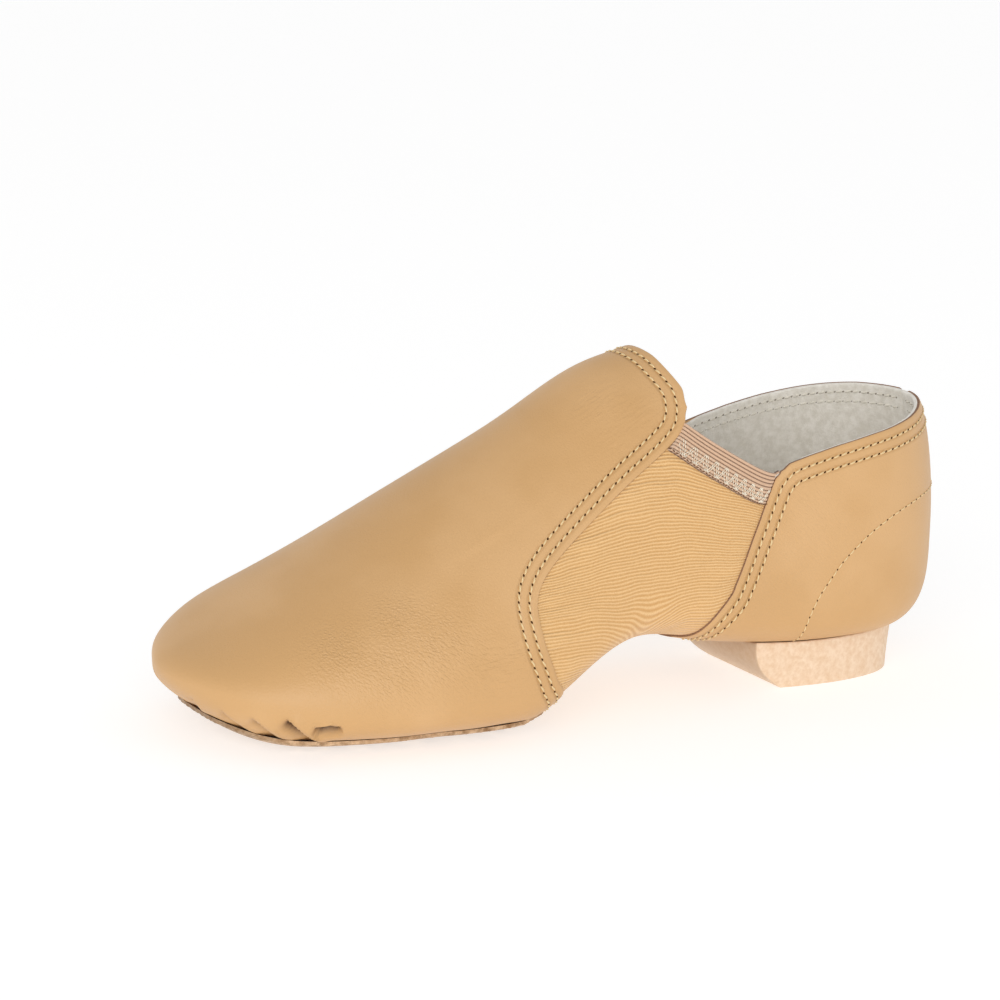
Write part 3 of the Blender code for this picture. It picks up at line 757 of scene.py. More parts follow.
def elastic_material(colours):
    """Woven polyester elastic: round lengthwise ribs, pinkish tan and dull, with painted shade in the grooves.
    """
    material, tree, shader, where = start_material("woven_rib_elastic", 0.75, {"Sheen Weight": 0.15})
    # Painted shade: the colour darkens down in the grooves between the ribs
    groove = add_node(tree, "Attribute", {"attribute_name": "groove"}, output="Fac")
    tone = add_node(tree, "Mix", COLOURS, {0: groove, 6: colours.elastic, 7: colours.elastic_deep}, MIXED)
    along = add_node(tree, "Attribute", {"attribute_name": "along"}, output="Fac")
    beat = add_node(tree, "Math", MULTIPLY, {0: along, 1: 2 * math.pi / (1.0 * MM)})
    beat = add_node(tree, "Math", SINE, {0: beat})
    down = add_node(tree, "Attribute", {"attribute_name": "down"}, output="Fac")
    lower = add_node(tree, "MapRange", EASED, {"Value": down, "From Min": 0.44, "From Max": 0.50})
    beat = add_node(tree, "MapRange", EASED, {"Value": beat, "From Min": -0.6, "From Max": 0.4})
    blocks = add_node(tree, "Math", MULTIPLY, {0: lower, 1: beat})
    pale = add_node(tree, "Math", MULTIPLY, {0: blocks, 1: 0.18})
    tone = add_node(tree, "Mix", COLOURS, {0: pale, 6: tone, 7: colours.zigzag}, MIXED)
    grain = add_node(tree, "TexNoise", None, {"Vector": where, "Scale": 1 / (0.4 * MM)})
    dull = add_node(tree, "Math", MULTIPLY, {0: grain, 1: 0.25})
    tone = add_node(tree, "Mix", COLOURS, {0: dull, 6: tone, 7: colours.elastic_deep}, MIXED)
    tree.links.new(tone, shader.inputs["Base Color"])
    height = add_node(tree, "Math", MULTIPLY, {0: grain, 1: 0.08 * MM})
    bump = add_node(tree, "Bump", None, {"Height": height, "Distance": 1.0, "Strength": 1.0})
    tree.links.new(bump, shader.inputs["Normal"])
    return material


def thread_material(name, colour):
    """Bonded polyester sewing thread: pale, twisted, with a slight gloss."""
    material, tree, shader, where = start_material(name, 0.5)
    twist = add_node(tree, "TexNoise", None, {"Vector": where, "Scale": 1 / (0.3 * MM)})
    darker = [0.8 * part for part in colour]
    tone = add_node(tree, "Mix", COLOURS, {0: twist, 6: colour, 7: darker}, MIXED)
    tree.links.new(tone, shader.inputs["Base Color"])
    return material


def suede_material(name, colour, deep, grit):
    """Split suede: the flesh side of the hide, napped and fibrous, with no gloss, and drawn darker where it
    faces the toe, a painted shade."""
    inputs = {"Sheen Weight": 0.2, "Specular IOR Level": 0.25}
    material, tree, shader, where = start_material(name, 0.95, inputs)
    inputs = {"Vector": where, "Scale": 1 / (6 * grit), "Detail": 4.0, "Roughness": 0.65}
    patch = add_node(tree, "TexNoise", None, inputs)
    patch = add_node(tree, "MapRange", EASED, {"Value": patch, "From Min": 0.25, "From Max": 0.75})
    tone = add_node(tree, "Mix", COLOURS, {0: patch, 6: deep, 7: colour}, MIXED)
    # Painted shade: faces turned towards the toe, such as the heel's breast, are drawn darker
    facing = add_node(tree, "TexCoord", output="Normal")
    facing = add_node(tree, "SeparateXYZ", None, {0: facing}, "Y")
    forward = add_node(tree, "Math", MULTIPLY, {0: facing, 1: -1.0})
    forward = add_node(tree, "MapRange", EASED, {"Value": forward, "From Min": 0.3, "From Max": 0.9})
    painted_front_shade = add_node(tree, "Math", MULTIPLY, {0: forward, 1: 0.55})
    darker = [0.5 * part for part in deep]
    tone = add_node(tree, "Mix", COLOURS, {0: painted_front_shade, 6: tone, 7: darker}, MIXED)
    tree.links.new(tone, shader.inputs["Base Color"])
    inputs = {"Vector": where, "Scale": 1 / grit, "Detail": 3.0, "Roughness": 0.7}
    fibre = add_node(tree, "TexNoise", None, inputs)
    height = add_node(tree, "Math", MULTIPLY, {0: fibre, 1: 0.4 * grit})
    bump = add_node(tree, "Bump", None, {"Height": height, "Distance": 1.0, "Strength": 1.0})
    tree.links.new(bump, shader.inputs["Normal"])
    return material


def hole_material(name, colour):
    """The shadow inside a needle hole."""
    material, tree, shader, where = start_material(name, 0.9, {"Specular IOR Level": 0.1})
    patch = add_node(tree, "TexNoise", None, {"Vector": where, "Scale": 1 / (1 * MM)})
    darker = [0.6 * part for part in colour]
    tone = add_node(tree, "Mix", COLOURS, {0: patch, 6: colour, 7: darker}, MIXED)
    tree.links.new(tone, shader.inputs["Base Color"])
    return material


# Settings


def length_setting(label, text, metres):
    return FloatProperty(name=label, description=text, default=metres, unit="LENGTH")


def colour_setting(label, code):
    return FloatVectorProperty(
        name=label, description=label, subtype="COLOR", size=3, min=0, max=1, default=linear(code)
    )


class ShoeSizes(bpy.types.PropertyGroup):
    pitch: length_setting("Stitch pitch", "From one needle hole to the next", 0.0027)
    first_row: length_setting("First row", "From the edge to the first row", 0.0027)
    row_gap: length_setting("Row gap", "Between the two rows", 0.0033)
    thread: length_setting("Thread", "The thread's radius", 0.00029)
    hole: length_setting("Needle hole", "The hole's radius", 0.00030)
    ribs: IntProperty(name="Elastic ribs", description="Ribs across the elastic", default=9, min=3)


class ShoeColours(bpy.types.PropertyGroup):
    leather: colour_setting("Leather", "D3A874")
    leather_deep: colour_setting("Leather, deeper", "CCA06A")
    # Painted shade for the toe's pleats; the cut edge also mixes it in as its darker fibre
    fold_shade_and_dark_fibre: colour_setting("Painted fold shade, dark fibre", "4A2F1A")
    cut_edge: colour_setting("Leather's cut edge", "B48A6C")
    stretch: colour_setting("Stretch fabric", "E9C088")
    # Partly painted shade, in the ribs' grooves and the pulls' hollows, and partly the weave's random darker
    # tone
    stretch_deep: colour_setting("Stretch fabric, grooves", "CC9A5C")
    elastic: colour_setting("Elastic", "DCB899")
    # Painted shade in the grooves between the ribs; the grain also mixes it in as a darker tone
    elastic_deep: colour_setting("Elastic, grooves", "5C3A28")
    lining: colour_setting("Lining", "F4EFE6")
    lining_deep: colour_setting("Lining, deeper", "E2DCD0")
    thread: colour_setting("Thread", "EBCF9C")
    zigzag: colour_setting("Zigzag thread", "F6EBD6")
    sole: colour_setting("Sole suede", "E0C09C")
    sole_deep: colour_setting("Sole suede, deeper", "94704C")
    heel: colour_setting("Heel", "F0D8BE")
    heel_deep: colour_setting("Heel, deeper", "E2C2A0")
    # Painted shadow inside the leather's needle holes
    hole: colour_setting("Needle hole", "523418")
    lining_thread: colour_setting("Lining thread", "E6E0D2")
    # Painted shadow inside the lining's needle holes
    lining_hole_shadow: colour_setting("Lining, needle hole", "A59C8E")
    dark_thread: colour_setting("Elastic's seam", "6B4528")
    floor: colour_setting("Floor", "CCCCCC")


def settings():
    scene = bpy.context.scene
    return scene.shoe_sizes, scene.shoe_colours


def material_named(name):
    return bpy.data.materials[name]


# Stitches

# How much of the way between two needle holes a stitch fills; how far its middle rises and its ends sink, as
# shares of the thread's radius; its usual slant; and the sides of every bead and the rise of a needle hole
STITCH_FILL = 0.84
STITCH_RISE = 0.7
STITCH_BOW = 1.3
STITCH_SLANT = 0.22
BEAD_SIDES = 6
HOLE_RISE = 0.00010


def tree_of(piece):
    faces = [tuple(face.vertices) for face in piece.data.polygons]
    return BVHTree.FromPolygons([vert.co for vert in piece.data.vertices], faces)


def inset_path(edge, normals, tree, distance):
    """A path on a piece's outside that is everywhere this far from its edge."""
    tangents = np.gradient(edge, axis=0)
    tries = []
    for turn in (1, -1):
        path = []
        for point, tangent, normal in zip(edge, tangents, normals):
            spot = Vector(point)
            inward = Vector(np.cross(normal, tangent)).normalized() * turn
            for _ in range(4):
                spot = tree.find_nearest(spot + inward * distance / 4)[0]
            path.append(spot)
        path = np.array(path)
        tries.append(path[distance_to(path, edge)[0] > 0.96 * distance])
    return relaxed(evenly(max(tries, key=len), 0.0006), 6)


def add_bead(shape, place, along, across, normal, sizes):
    """A small rounded bead, its three half sizes given along, across and off the surface."""
    turn = Matrix((across * sizes[1], normal * sizes[2], along * sizes[0])).transposed().to_4x4()
    turn.translation = place
    sides = {"u_segments": BEAD_SIDES, "v_segments": BEAD_SIDES}
    return bmesh.ops.create_uvsphere(shape, **sides, radius=1.0, matrix=turn)["verts"]


def sew(threads, holes, spots, slant=STITCH_SLANT, scale=1.0):
    """Lays stitches from needle hole to needle hole; spots are places and the ways out at them."""
    sizes, _ = settings()
    thread, hole = sizes.thread * scale, sizes.hole * scale
    for (a, normal_a), (b, normal_b) in zip(spots, spots[1:]):
        normal = (normal_a + normal_b).normalized()
        along = (b - a).normalized()
        across = normal.cross(along)
        along = (along + across * slant).normalized()
        across = normal.cross(along)
        half = (b - a).length * STITCH_FILL / 2
        middle = (a + b) / 2
        for vert in add_bead(threads, middle, along, across, normal, (half, thread, thread)):
            share = (vert.co - middle).dot(along) / half
            vert.co += normal * thread * (STITCH_RISE - STITCH_BOW * share * share)
    # Each needle hole gets a flat dark bead: painted shadow inside the hole
    for (place, normal), (beyond, _) in zip(spots, spots[1:] + spots[-2:-1]):
        along = (beyond - place).normalized()
        across = normal.cross(along)
        along = (along + across * slant * 2).normalized()
        add_bead(holes, place, along, normal.cross(along), normal, (hole * 1.5, hole, HOLE_RISE))


def spots_on(path, tree):
    """Needle holes along a path, with the piece's way out at each."""
    sizes, _ = settings()
    return [tree.find_nearest(Vector(mark))[:2] for mark in evenly(path, sizes.pitch)]


# Pieces

# Where the vamp's leather is wrinkled: share of the length, level, side and reach of each zone
VAMP_WRINKLES = {
    "wrinkle_side": [
        (0.750, 0.617, 1, 0.015),
        (0.780, 0.700, 1, 0.011),
        (0.800, 0.600, 1, 0.012),
        (0.850, 0.670, 1, 0.011),
        (0.750, 0.617, -1, 0.015),
        (0.840, 0.650, -1, 0.013),
    ],
    "wrinkle_throat": [
        (0.445, 0.790, 1, 0.008),
        (0.478, 0.775, 1, 0.007),
        (0.480, 0.860, 1, 0.009),
        (0.460, 0.800, -1, 0.011),
    ],
    "wrinkle_edge": [(0.680, 0.560, 1, 0.008), (0.655, 0.575, 1, 0.004), (0.680, 0.560, -1, 0.009)],
}

# The vamp's rear top corners: how far each way the diagonal that they are rounded along runs, in rows and
# columns, and the reach and pull of the two draws that round them
CORNER_DIAGONAL = 4, 8
CORNER_DRAWS = ((0.018, -0.0019), (0.0075, 0.0019))

# How far the leather sinks and over what width: at its cut edge, where two rows of stitches draw the vamp's
# edge down, where one does the quarter's, and behind the vamp's rows
EDGE_SINK, EDGE_WIDTH = 0.00025, 0.0006
VAMP_ROWS_SINK, VAMP_ROWS_WIDTH = 0.0004, 0.0065
QUARTER_ROWS_SINK, QUARTER_ROWS_WIDTH = 0.0003, 0.006
BEHIND_SINK, BEHIND_AT, BEHIND_WIDTH = 0.0003, 0.019, 0.006

# How round the leather's cut edges are, and the depth at which a fold is wholly in shade
LEATHER_ROUND = 0.00022
DEEP_FOLD = 0.0028


class SHOE_OT_vamp(bpy.types.Operator):
    """Makes the vamp's leather, gathered under the toe, with its rows of stitches"""

    bl_idname = "shoe.vamp"
    bl_label = "Vamp"

    def execute(self, context):
        sizes, _ = settings()
        points, lines, shares = vamp_sheet()
        normals = normals_of(points)
        tread = (cells(lines) > SEAT_LINE) & (cells(shares[None, :] + 0 * lines) < TREAD_END)
        inside = lines[:, 0] <= SEAT_LINE
        for row, way in ((VAMP_SIDE_ROWS, 1), (VAMP_SIDE_ROWS + 2 * VAMP_THROAT_ROWS, -1)):
            for reach, pull in CORNER_DRAWS:
                towards = row + way * CORNER_DIAGONAL[0], CORNER_DIAGONAL[1]
                points = rounded(points, (row, 0), towards, reach, pull)
        edge = points[inside, 0]
        margin, _ = distance_to(points, edge)
        fold = pleated(points)
        sink = fold + EDGE_SINK * bell(margin, EDGE_WIDTH) + VAMP_ROWS_SINK * bell(margin, VAMP_ROWS_WIDTH)
        sink += BEHIND_SINK * bell(margin - BEHIND_AT, BEHIND_WIDTH) * (lines > COLLAR_LINE)
        points = points - normals * sink[..., None]
        shape = sheet_mesh(points, normals, LEATHER, tread, LEATHER_ROUND, 0, 1)
        materials = [material_named("full_grain_tan_leather"), material_named("raw_leather_edge")]
        piece = new_piece("vamp_leather", shape, materials, "leather", "vamp")
        where = places(piece.data)
        set_attribute(piece.data, "margin", distance_to(where, edge)[0])
        # Painted shade: the deeper a pleat draws the leather in, the darker its colour is drawn
        set_attribute(piece.data, "fold", np.clip(nearest_values(where, points, fold) / DEEP_FOLD, 0, 1) ** 2)
        for kind, zones in VAMP_WRINKLES.items():
            near = np.zeros(len(where))
            for at, level, side, reach in zones:
                spot = form(place_of(at), level, side)
                near = np.maximum(near, np.exp(-((where - spot) ** 2).sum(1) / reach**2))
            set_attribute(piece.data, kind, near)
        tree = tree_of(piece)
        threads, holes = bmesh.new(), bmesh.new()
        for distance in (sizes.first_row, sizes.first_row + sizes.row_gap):
            sew(threads, holes, spots_on(inset_path(edge, normals[inside, 0], tree, distance), tree))
        new_piece("vamp_stitches", threads, [material_named("bonded_thread")], "leather")
        new_piece("vamp_needle_holes", holes, [material_named("needle_hole_shadow")], "leather")
        return {"FINISHED"}


# The counter's seam on each quarter, as shares of the length and levels
COUNTER = [
    (0.0005, 0.552),
    (0.012, 0.552),
    (0.04, 0.553),
    (0.068, 0.554),
    (0.113, 0.543),
    (0.152, 0.527),
    (0.185, 0.509),
    (0.2, 0.502),
    (0.217, 0.494),
    (0.23, 0.462),
    (0.237, 0.379),
    (0.236, 0.25),
    (0.233, 0.16),
]

# The counter's seam is finer than the rows: the slant of its stitches and their scale, and how its line is
# smoothed, by the pitch of its points and how often each is drawn between its neighbours
COUNTER_SLANT = 0.08
COUNTER_SCALE = 0.75
COUNTER_PITCH = 0.001
COUNTER_RELAXED = 16

# How a quarter's corners are rounded: the diagonal's row and column, the reach and the pull, at the front
# and at the back seam
FRONT_CORNER = (6, QUARTER_COLUMNS - 6), 0.004, 0.0012
BACK_CORNER = (4, 2), 0.0025, 0.0010

# The faint wrinkles on a quarter: the share of the length and level of their middle, their reach, how much
# higher than long they are, and how strong
QUARTER_WRINKLE_AT = 0.25
QUARTER_WRINKLE_LEVEL = 0.56
QUARTER_WRINKLE_REACH = 0.014
QUARTER_WRINKLE_SHAPE = np.array([1, 1, 0.6])
QUARTER_WRINKLE_SHARE = 0.5


class SHOE_OT_quarters(bpy.types.Operator):
    """Makes the two leather quarters, with the rows along the collar and front edge and the counter's seam"""

    bl_idname = "shoe.quarters"
    bl_label = "Quarters"

    def execute(self, context):
        sizes, _ = settings()
        for name, side in (("left", 1), ("right", -1)):
            points, lines, shares = quarter_sheet(side)
            normals = normals_of(points)
            seat = (cells(lines) > SEAT_LINE) & (cells(shares[None, :] + 0 * lines) < SEAT_END)
            front = lines[1:, -1] <= SEAT_LINE
            edge = np.concatenate([points[0], points[1:, -1][front]])
            edge_normals = np.concatenate([normals[0], normals[1:, -1][front]])
            margin, _ = distance_to(points, edge)
            back, _ = distance_to(points, points[:, 0])
            points = rounded(points, (0, QUARTER_COLUMNS), *FRONT_CORNER)
            points[:, 0, 0] += side * GAP / 3
            points = rounded(points, (0, 0), *BACK_CORNER)
            edge = np.concatenate([points[0], points[1:, -1][front]])
            sink = EDGE_SINK * bell(np.minimum(margin, back), EDGE_WIDTH)
            sink += QUARTER_ROWS_SINK * bell(margin, QUARTER_ROWS_WIDTH)
            points = points - normals * sink[..., None]
            shape = sheet_mesh(points, normals, LEATHER, seat, LEATHER_ROUND, 0, 1)
            materials = [material_named("full_grain_tan_leather"), material_named("raw_leather_edge")]
            piece = new_piece(f"quarter_leather_{name}", shape, materials, "leather", f"quarter_{name}")
            where = places(piece.data)
            set_attribute(piece.data, "margin", distance_to(where, edge)[0])
            set_attribute(piece.data, "fold", np.zeros(len(where)))
            spot = form(place_of(QUARTER_WRINKLE_AT), QUARTER_WRINKLE_LEVEL, side)
            away = (((where - spot) * QUARTER_WRINKLE_SHAPE) ** 2).sum(1)
            near = np.exp(-away / QUARTER_WRINKLE_REACH**2)
            set_attribute(piece.data, "wrinkle_side", QUARTER_WRINKLE_SHARE * near)
            tree = tree_of(piece)
            threads, holes = bmesh.new(), bmesh.new()
            for distance in (sizes.first_row, sizes.first_row + sizes.row_gap):
                sew(threads, holes, spots_on(inset_path(edge, edge_normals, tree, distance), tree))
            marks = np.linspace(0, len(COUNTER) - 1, DENSE)
            at, level = (np.interp(marks, range(len(COUNTER)), [row[k] for row in COUNTER]) for k in (0, 1))
            path = evenly(form(place_of(at), level, side), COUNTER_PITCH)
            path = relaxed(path, COUNTER_RELAXED)
            sew(threads, holes, spots_on(path, tree), COUNTER_SLANT, COUNTER_SCALE)
            new_piece(f"quarter_stitches_{name}", threads, [material_named("bonded_thread")], "leather")
            new_piece(f"quarter_needle_holes_{name}", holes, [material_named("needle_hole_shadow")], "leather")
        return {"FINISHED"}


# Stretch insert: how far it runs on under the leather, as a share of its length; how its ribs arch up away
# from its middle, in rises per squared metre, from what height and over what height; the height under which
# they turn to run along the arch, and over what height; where they begin to fan round the arch's back, the
# depth of their centre below the floor, and the heights and places between which the fan fades; and how far
# from each seam the fabric is gathered, how much at the rear one, and how much everywhere
STRETCH_REACH = 0.10
ARC = 9.0
ARC_FROM, ARC_FADE = 0.035, 0.035
UNDER_FROM = 0.022
UNDER_FADE = 0.010
FAN_BACK = -0.018
FAN_DROP = 0.004
FAN_TOP, FAN_TOP_FADE = 0.018, 0.024
FAN_END, FAN_END_FADE = 0.004, 0.020
GATHER_FRONT, GATHER_REAR = 0.22, 0.20
GATHER_REAR_SHARE = 0.6
GATHER_LEAST = 0.35


class SHOE_OT_stretch(bpy.types.Operator):
    """Makes the stretch insert on both sides and round under the arch"""

    bl_idname = "shoe.stretch"
    bl_label = "Stretch insert"

    def execute(self, context):
        shares = np.linspace(-STRETCH_REACH, 1 + STRETCH_REACH, GORE_COLUMNS + 1)
        stops = (GORE_LINE - 0.6, MIDDLE_LINE)
        found = [side_sheet(gore_point, shares, side, stops, (GORE_ROWS,))[0] for side in (-1, 1)]
        points = np.concatenate([found[0], found[1][::-1][1:]])
        normals = normals_of(points)
        sheet = points - normals * STRETCH_DEPTH
        shape = sheet_mesh(sheet, normals, STRETCH_THICKNESS)
        materials = [material_named("elastane_rib_fabric")]
        piece = new_piece("stretch_insert", shape, materials, "stretch_fabric", "upper")
        where = places(piece.data)
        middle = form(place_of(0.45), 0.6, 1)[1]
        y, z = where[:, 1], where[:, 2]
        arc = ARC * (y - middle) ** 2 * np.clip((z - ARC_FROM) / ARC_FADE, 0, 1)
        turn = np.hypot(np.maximum(y - FAN_BACK, 0), z + FAN_DROP) - FAN_DROP
        fan = (1 - smooth((z - FAN_TOP) / FAN_TOP_FADE)) * (1 - smooth((y - FAN_END) / FAN_END_FADE))
        under = np.concatenate([round_under(found[0]), round_under(found[1])[::-1][1:]])
        set_attribute(piece.data, "rib", mix(z + arc, turn, fan) - nearest_values(where, points, under))
        share = nearest_values(where, points, shares[None, :] + np.zeros(points.shape[:2]))
        seams = np.maximum(bell(1 - share, GATHER_FRONT), GATHER_REAR_SHARE * bell(share, GATHER_REAR))
        set_attribute(piece.data, "gather", mix(GATHER_LEAST, 1, seams))
        return {"FINISHED"}


def round_under(points):
    """How much further it is down each column than its fall, so that the ribs run lengthwise under the arch."""
    steps = np.diff(points, axis=0)
    flat = smooth((UNDER_FROM - points[1:, :, 2]) / UNDER_FADE)
    extra = flat * (np.linalg.norm(steps, axis=2) - np.abs(steps[..., 2]))
    return np.concatenate([np.zeros((1, points.shape[1])), np.cumsum(extra, axis=0)])


def nearest_values(where, points, values):
    """The value of the nearest of the points, for each place."""
    flat, known = points.reshape(-1, 3), values.reshape(-1)
    tree = KDTree(len(flat))
    for i, point in enumerate(flat):
        tree.insert(point, i)
    tree.balance()
    found = []
    for place in where:
        near = tree.find_n(place, 3)
        weights = [1 / (far + 1e-6) for _, _, far in near]
        found.append(sum(known[i] * weight for (_, i, _), weight in zip(near, weights)) / sum(weights))
    return np.array(found)


# Lining: the counts of its grids, where its front part ends as a share of the vamp's length, how far from its
# rim it thickens, how much nearer the leather it lies there, and how deep its stitches sink into it
LINING_COLUMNS = 60
LINING_GORE_COLUMNS = 24
LINING_ROWS = 72
LINING_FRONT_ROWS = 14, 34
LINING_FRONT_END = 0.9
LINING_RIM = 0.003
LINING_RIM_LIFT = 0.0007
LINING_STITCH_SINK = 0.00007


class SHOE_OT_lining(bpy.types.Operator):
    """Makes the suede lining inside the quarters, gores and vamp"""

    bl_idname = "shoe.lining"
    bl_label = "Lining"

    def execute(self, context):
        sizes, _ = settings()
        materials = [material_named("microfibre_suede")]
        for name, side in (("right", -1), ("left", 1)):
            stops = (COLLAR_LINE, MIDDLE_LINE)
            shares = spread(lambda t: form(*quarter_point(t, 2.0 + 0 * t), side), 0, 1, LINING_COLUMNS)
            rear, _ = side_sheet(under_corner, shares, side, stops, (LINING_ROWS,))
            shares = np.linspace(0, 1, LINING_GORE_COLUMNS + 1)[1:]
            middle, _ = side_sheet(below_gap, shares, side, stops, (LINING_ROWS,))
            points = np.concatenate([rear, middle], axis=1)
            normals = normals_of(points)
            down = np.linalg.norm(points - points[:1], axis=-1, keepdims=True)
            rim = bell(down, LINING_RIM)
            sheet, ways = points - normals * (LINING_DEPTH - LINING_RIM_LIFT * rim), normals * (1 + 0.9 * rim)
            shape = sheet_mesh(sheet, ways, LINING_THICKNESS, None, 0.0003)
            new_piece(f"lining_{name}", shape, materials, "sock")
            threads, holes = bmesh.new(), bmesh.new()
            rim_rows, rim_normals = points[:, : rear.shape[1]], normals[:, : rear.shape[1]]
            steps = np.linalg.norm(np.diff(rim_rows, axis=0), axis=2)
            fall = np.concatenate([np.zeros((1, rear.shape[1])), np.cumsum(steps, axis=0)])
            for distance in (sizes.first_row, sizes.first_row + sizes.row_gap):
                path, out = [], []
                for k in range(2, rear.shape[1]):
                    path.append([np.interp(distance, fall[:, k], rim_rows[:, k, axis]) for axis in range(3)])
                    out.append([np.interp(distance, fall[:, k], rim_normals[:, k, axis]) for axis in range(3)])
                path, out = np.array(path), np.array(out)
                path = path - out * (LINING_DEPTH + LINING_THICKNESS - LINING_STITCH_SINK)
                spots = []
                for mark in evenly(path, sizes.pitch):
                    near = np.linalg.norm(path - mark, axis=1).argmin()
                    spots.append((Vector(mark), -Vector(out[near])))
                sew(threads, holes, spots)
            new_piece(f"lining_stitches_{name}", threads, [material_named("lining_thread")], "sock")
            new_piece(f"lining_needle_holes_{name}", holes, [material_named("lining_hole_shadow")], "sock")
        shares = spread(lambda t: form(*vamp_point(t, 3.0 + 0 * t), 1), 0, LINING_FRONT_END, LINING_COLUMNS)
        stops = (-THROAT_ROWS, COLLAR_LINE, MIDDLE_LINE)
        lateral, _ = side_sheet(vamp_point, shares, 1, stops, LINING_FRONT_ROWS)
        medial, _ = side_sheet(vamp_point, shares, -1, stops, LINING_FRONT_ROWS)
        points = whole_width(medial, lateral)
        normals = normals_of(points)
        deeper = (LINING_DEPTH + np.maximum(pleated(points), 0))[..., None]
        shape = sheet_mesh(points - normals * deeper, normals, LINING_THICKNESS, None, 0.0002)
        new_piece("lining_front", shape, materials, "sock")
        return {"FINISHED"}


# Elastic: the points per rib and along it; how far it runs on under the leather, as a share of its length,
# and how deep it tucks in there; how round its ribs are, how high, and how high up them the painted shade of
# the groove reaches; and its length, for the pattern along it
ELASTIC_ROWS = 8
ELASTIC_COLUMNS = 90
ELASTIC_REACH = 0.04
ELASTIC_TUCK = 0.0012
RIB_ROUND = 0.7
RIB_HEIGHT = 0.0005
GROOVE_TOP = 0.62
ELASTIC_LENGTH = 0.036

# The zigzag seam's threads: the legs of each; each one's shift along the elastic and the line of its upper
# turns; the line of all the lower turns; where the legs begin and how far they reach, as shares; and the
# beads in each leg: their half thickness across and off the elastic, how much of the way they fill, and how
# far their ends sink
ZIGZAG_LEGS = 18
ZIGZAG_THREADS = ((0.0, 0.48), (0.016, 0.48), (0.5 / ZIGZAG_LEGS, 0.68))
ZIGZAG_LOW = 0.97
ZIGZAG_BEGIN = 0.03
ZIGZAG_REACH = 0.90
ZIGZAG_STEPS = 5
ZIGZAG_BEAD = 0.00014, 0.00018
ZIGZAG_FILL = 0.92
ZIGZAG_BOW = 0.0002

# The dark seam along the elastic's lower edge: its stitches, how far they step to and fro, in lines, and the
# half thickness of their beads
SEAM_STITCHES = 36
SEAM_STEP = 0.02
SEAM_BEAD = 0.0002, 0.00025


class SHOE_OT_elastic(bpy.types.Operator):
    """Makes the ribbed elastic along each side of the opening, with its zigzag seam"""

    bl_idname = "shoe.elastic"
    bl_label = "Elastic"

    def execute(self, context):
        sizes, _ = settings()
        for name, side in (("left", 1), ("right", -1)):
            shares = np.linspace(-ELASTIC_REACH, 1 + ELASTIC_REACH, ELASTIC_COLUMNS)
            rows = ELASTIC_ROWS * sizes.ribs
            points, lines = side_sheet(elastic_point, shares, side, (COLLAR_LINE, GORE_LINE + 0.03), (rows,))
            normals = normals_of(points)
            phase = np.linspace(0, sizes.ribs, rows + 1)
            rise = np.abs(np.sin(np.pi * phase)) ** RIB_ROUND
            tucked = ELASTIC_TUCK * smooth((np.abs(shares - 0.5) - 0.475) / 0.02)
            lift = RIB_HEIGHT * rise[:, None] - RIB_HEIGHT - tucked[None, :]
            sheet = points + normals * lift[..., None]
            shape = sheet_mesh(sheet, normals, ELASTIC_THICKNESS)
            materials = [material_named("woven_rib_elastic")]
            piece = new_piece(f"gore_elastic_{name}", shape, materials, "elastic", f"elastic_{name}")
            where = places(piece.data)
            # Painted shade: groove is 1 down between the ribs, where the colour is drawn darker
            groove = np.clip(1 - rise / GROOVE_TOP, 0, 1)[:, None] + 0 * lines
            along = shares[None, :] * ELASTIC_LENGTH + 0 * lines
            down = phase[:, None] / sizes.ribs + 0 * lines
            for pattern, values in (("groove", groove), ("along", along), ("down", down)):
                set_attribute(piece.data, pattern, nearest_values(where, sheet, values))
            threads, seam = bmesh.new(), bmesh.new()
            for shift, high in ZIGZAG_THREADS:
                legs = range(ZIGZAG_LEGS + 1)
                ends = [ZIGZAG_BEGIN + shift + ZIGZAG_REACH * leg / ZIGZAG_LEGS for leg in legs]
                turns = [ZIGZAG_LOW if leg % 2 else high for leg in legs]
                for share, next_share, line, next_line in zip(ends, ends[1:], turns, turns[1:]):
                    steps = np.linspace(0, 1, ZIGZAG_STEPS)
                    spot = elastic_point(mix(share, next_share, steps), mix(line, next_line, steps))
                    path, ways = on_form(*spot, side)
                    for a, b, way in zip(path, path[1:], ways):
                        normal, along = Vector(way), Vector(b - a)
                        half = along.length * ZIGZAG_FILL / 2
                        along.normalize()
                        across = normal.cross(along).normalized()
                        place = Vector((a + b) / 2) + normal * ZIGZAG_BEAD[0]
                        for vert in add_bead(threads, place, along, across, normal, (half, *ZIGZAG_BEAD)):
                            share_along = (vert.co - place).dot(along) / half
                            vert.co -= normal * ZIGZAG_BOW * share_along * share_along
            steps = np.linspace(0, 1, SEAM_STITCHES + 1)
            sway = SEAM_STEP * (-1) ** np.arange(SEAM_STITCHES + 1)
            path, ways = on_form(*elastic_point(steps, 1 + sway), side)
            for a, b, way in zip(path, path[1:], ways):
                normal, along = Vector(way), Vector(b - a)
                half = along.length * STITCH_FILL / 2
                along.normalize()
                across = normal.cross(along)
                add_bead(seam, Vector((a + b) / 2), along, across, normal, (half, *SEAM_BEAD))
            new_piece(f"elastic_seam_{name}", seam, [material_named("dark_thread")], "elastic")
            new_piece(f"zigzag_{name}", threads, [material_named("zigzag_thread")], "elastic")
        return {"FINISHED"}


# The insole's grid, its ends as shares of the length, and its share of the form's width
INSOLE_ROWS = 120
INSOLE_COLUMNS = 41
INSOLE_BACK = 0.022
INSOLE_FRONT = 0.955
INSOLE_SHARE = 0.82


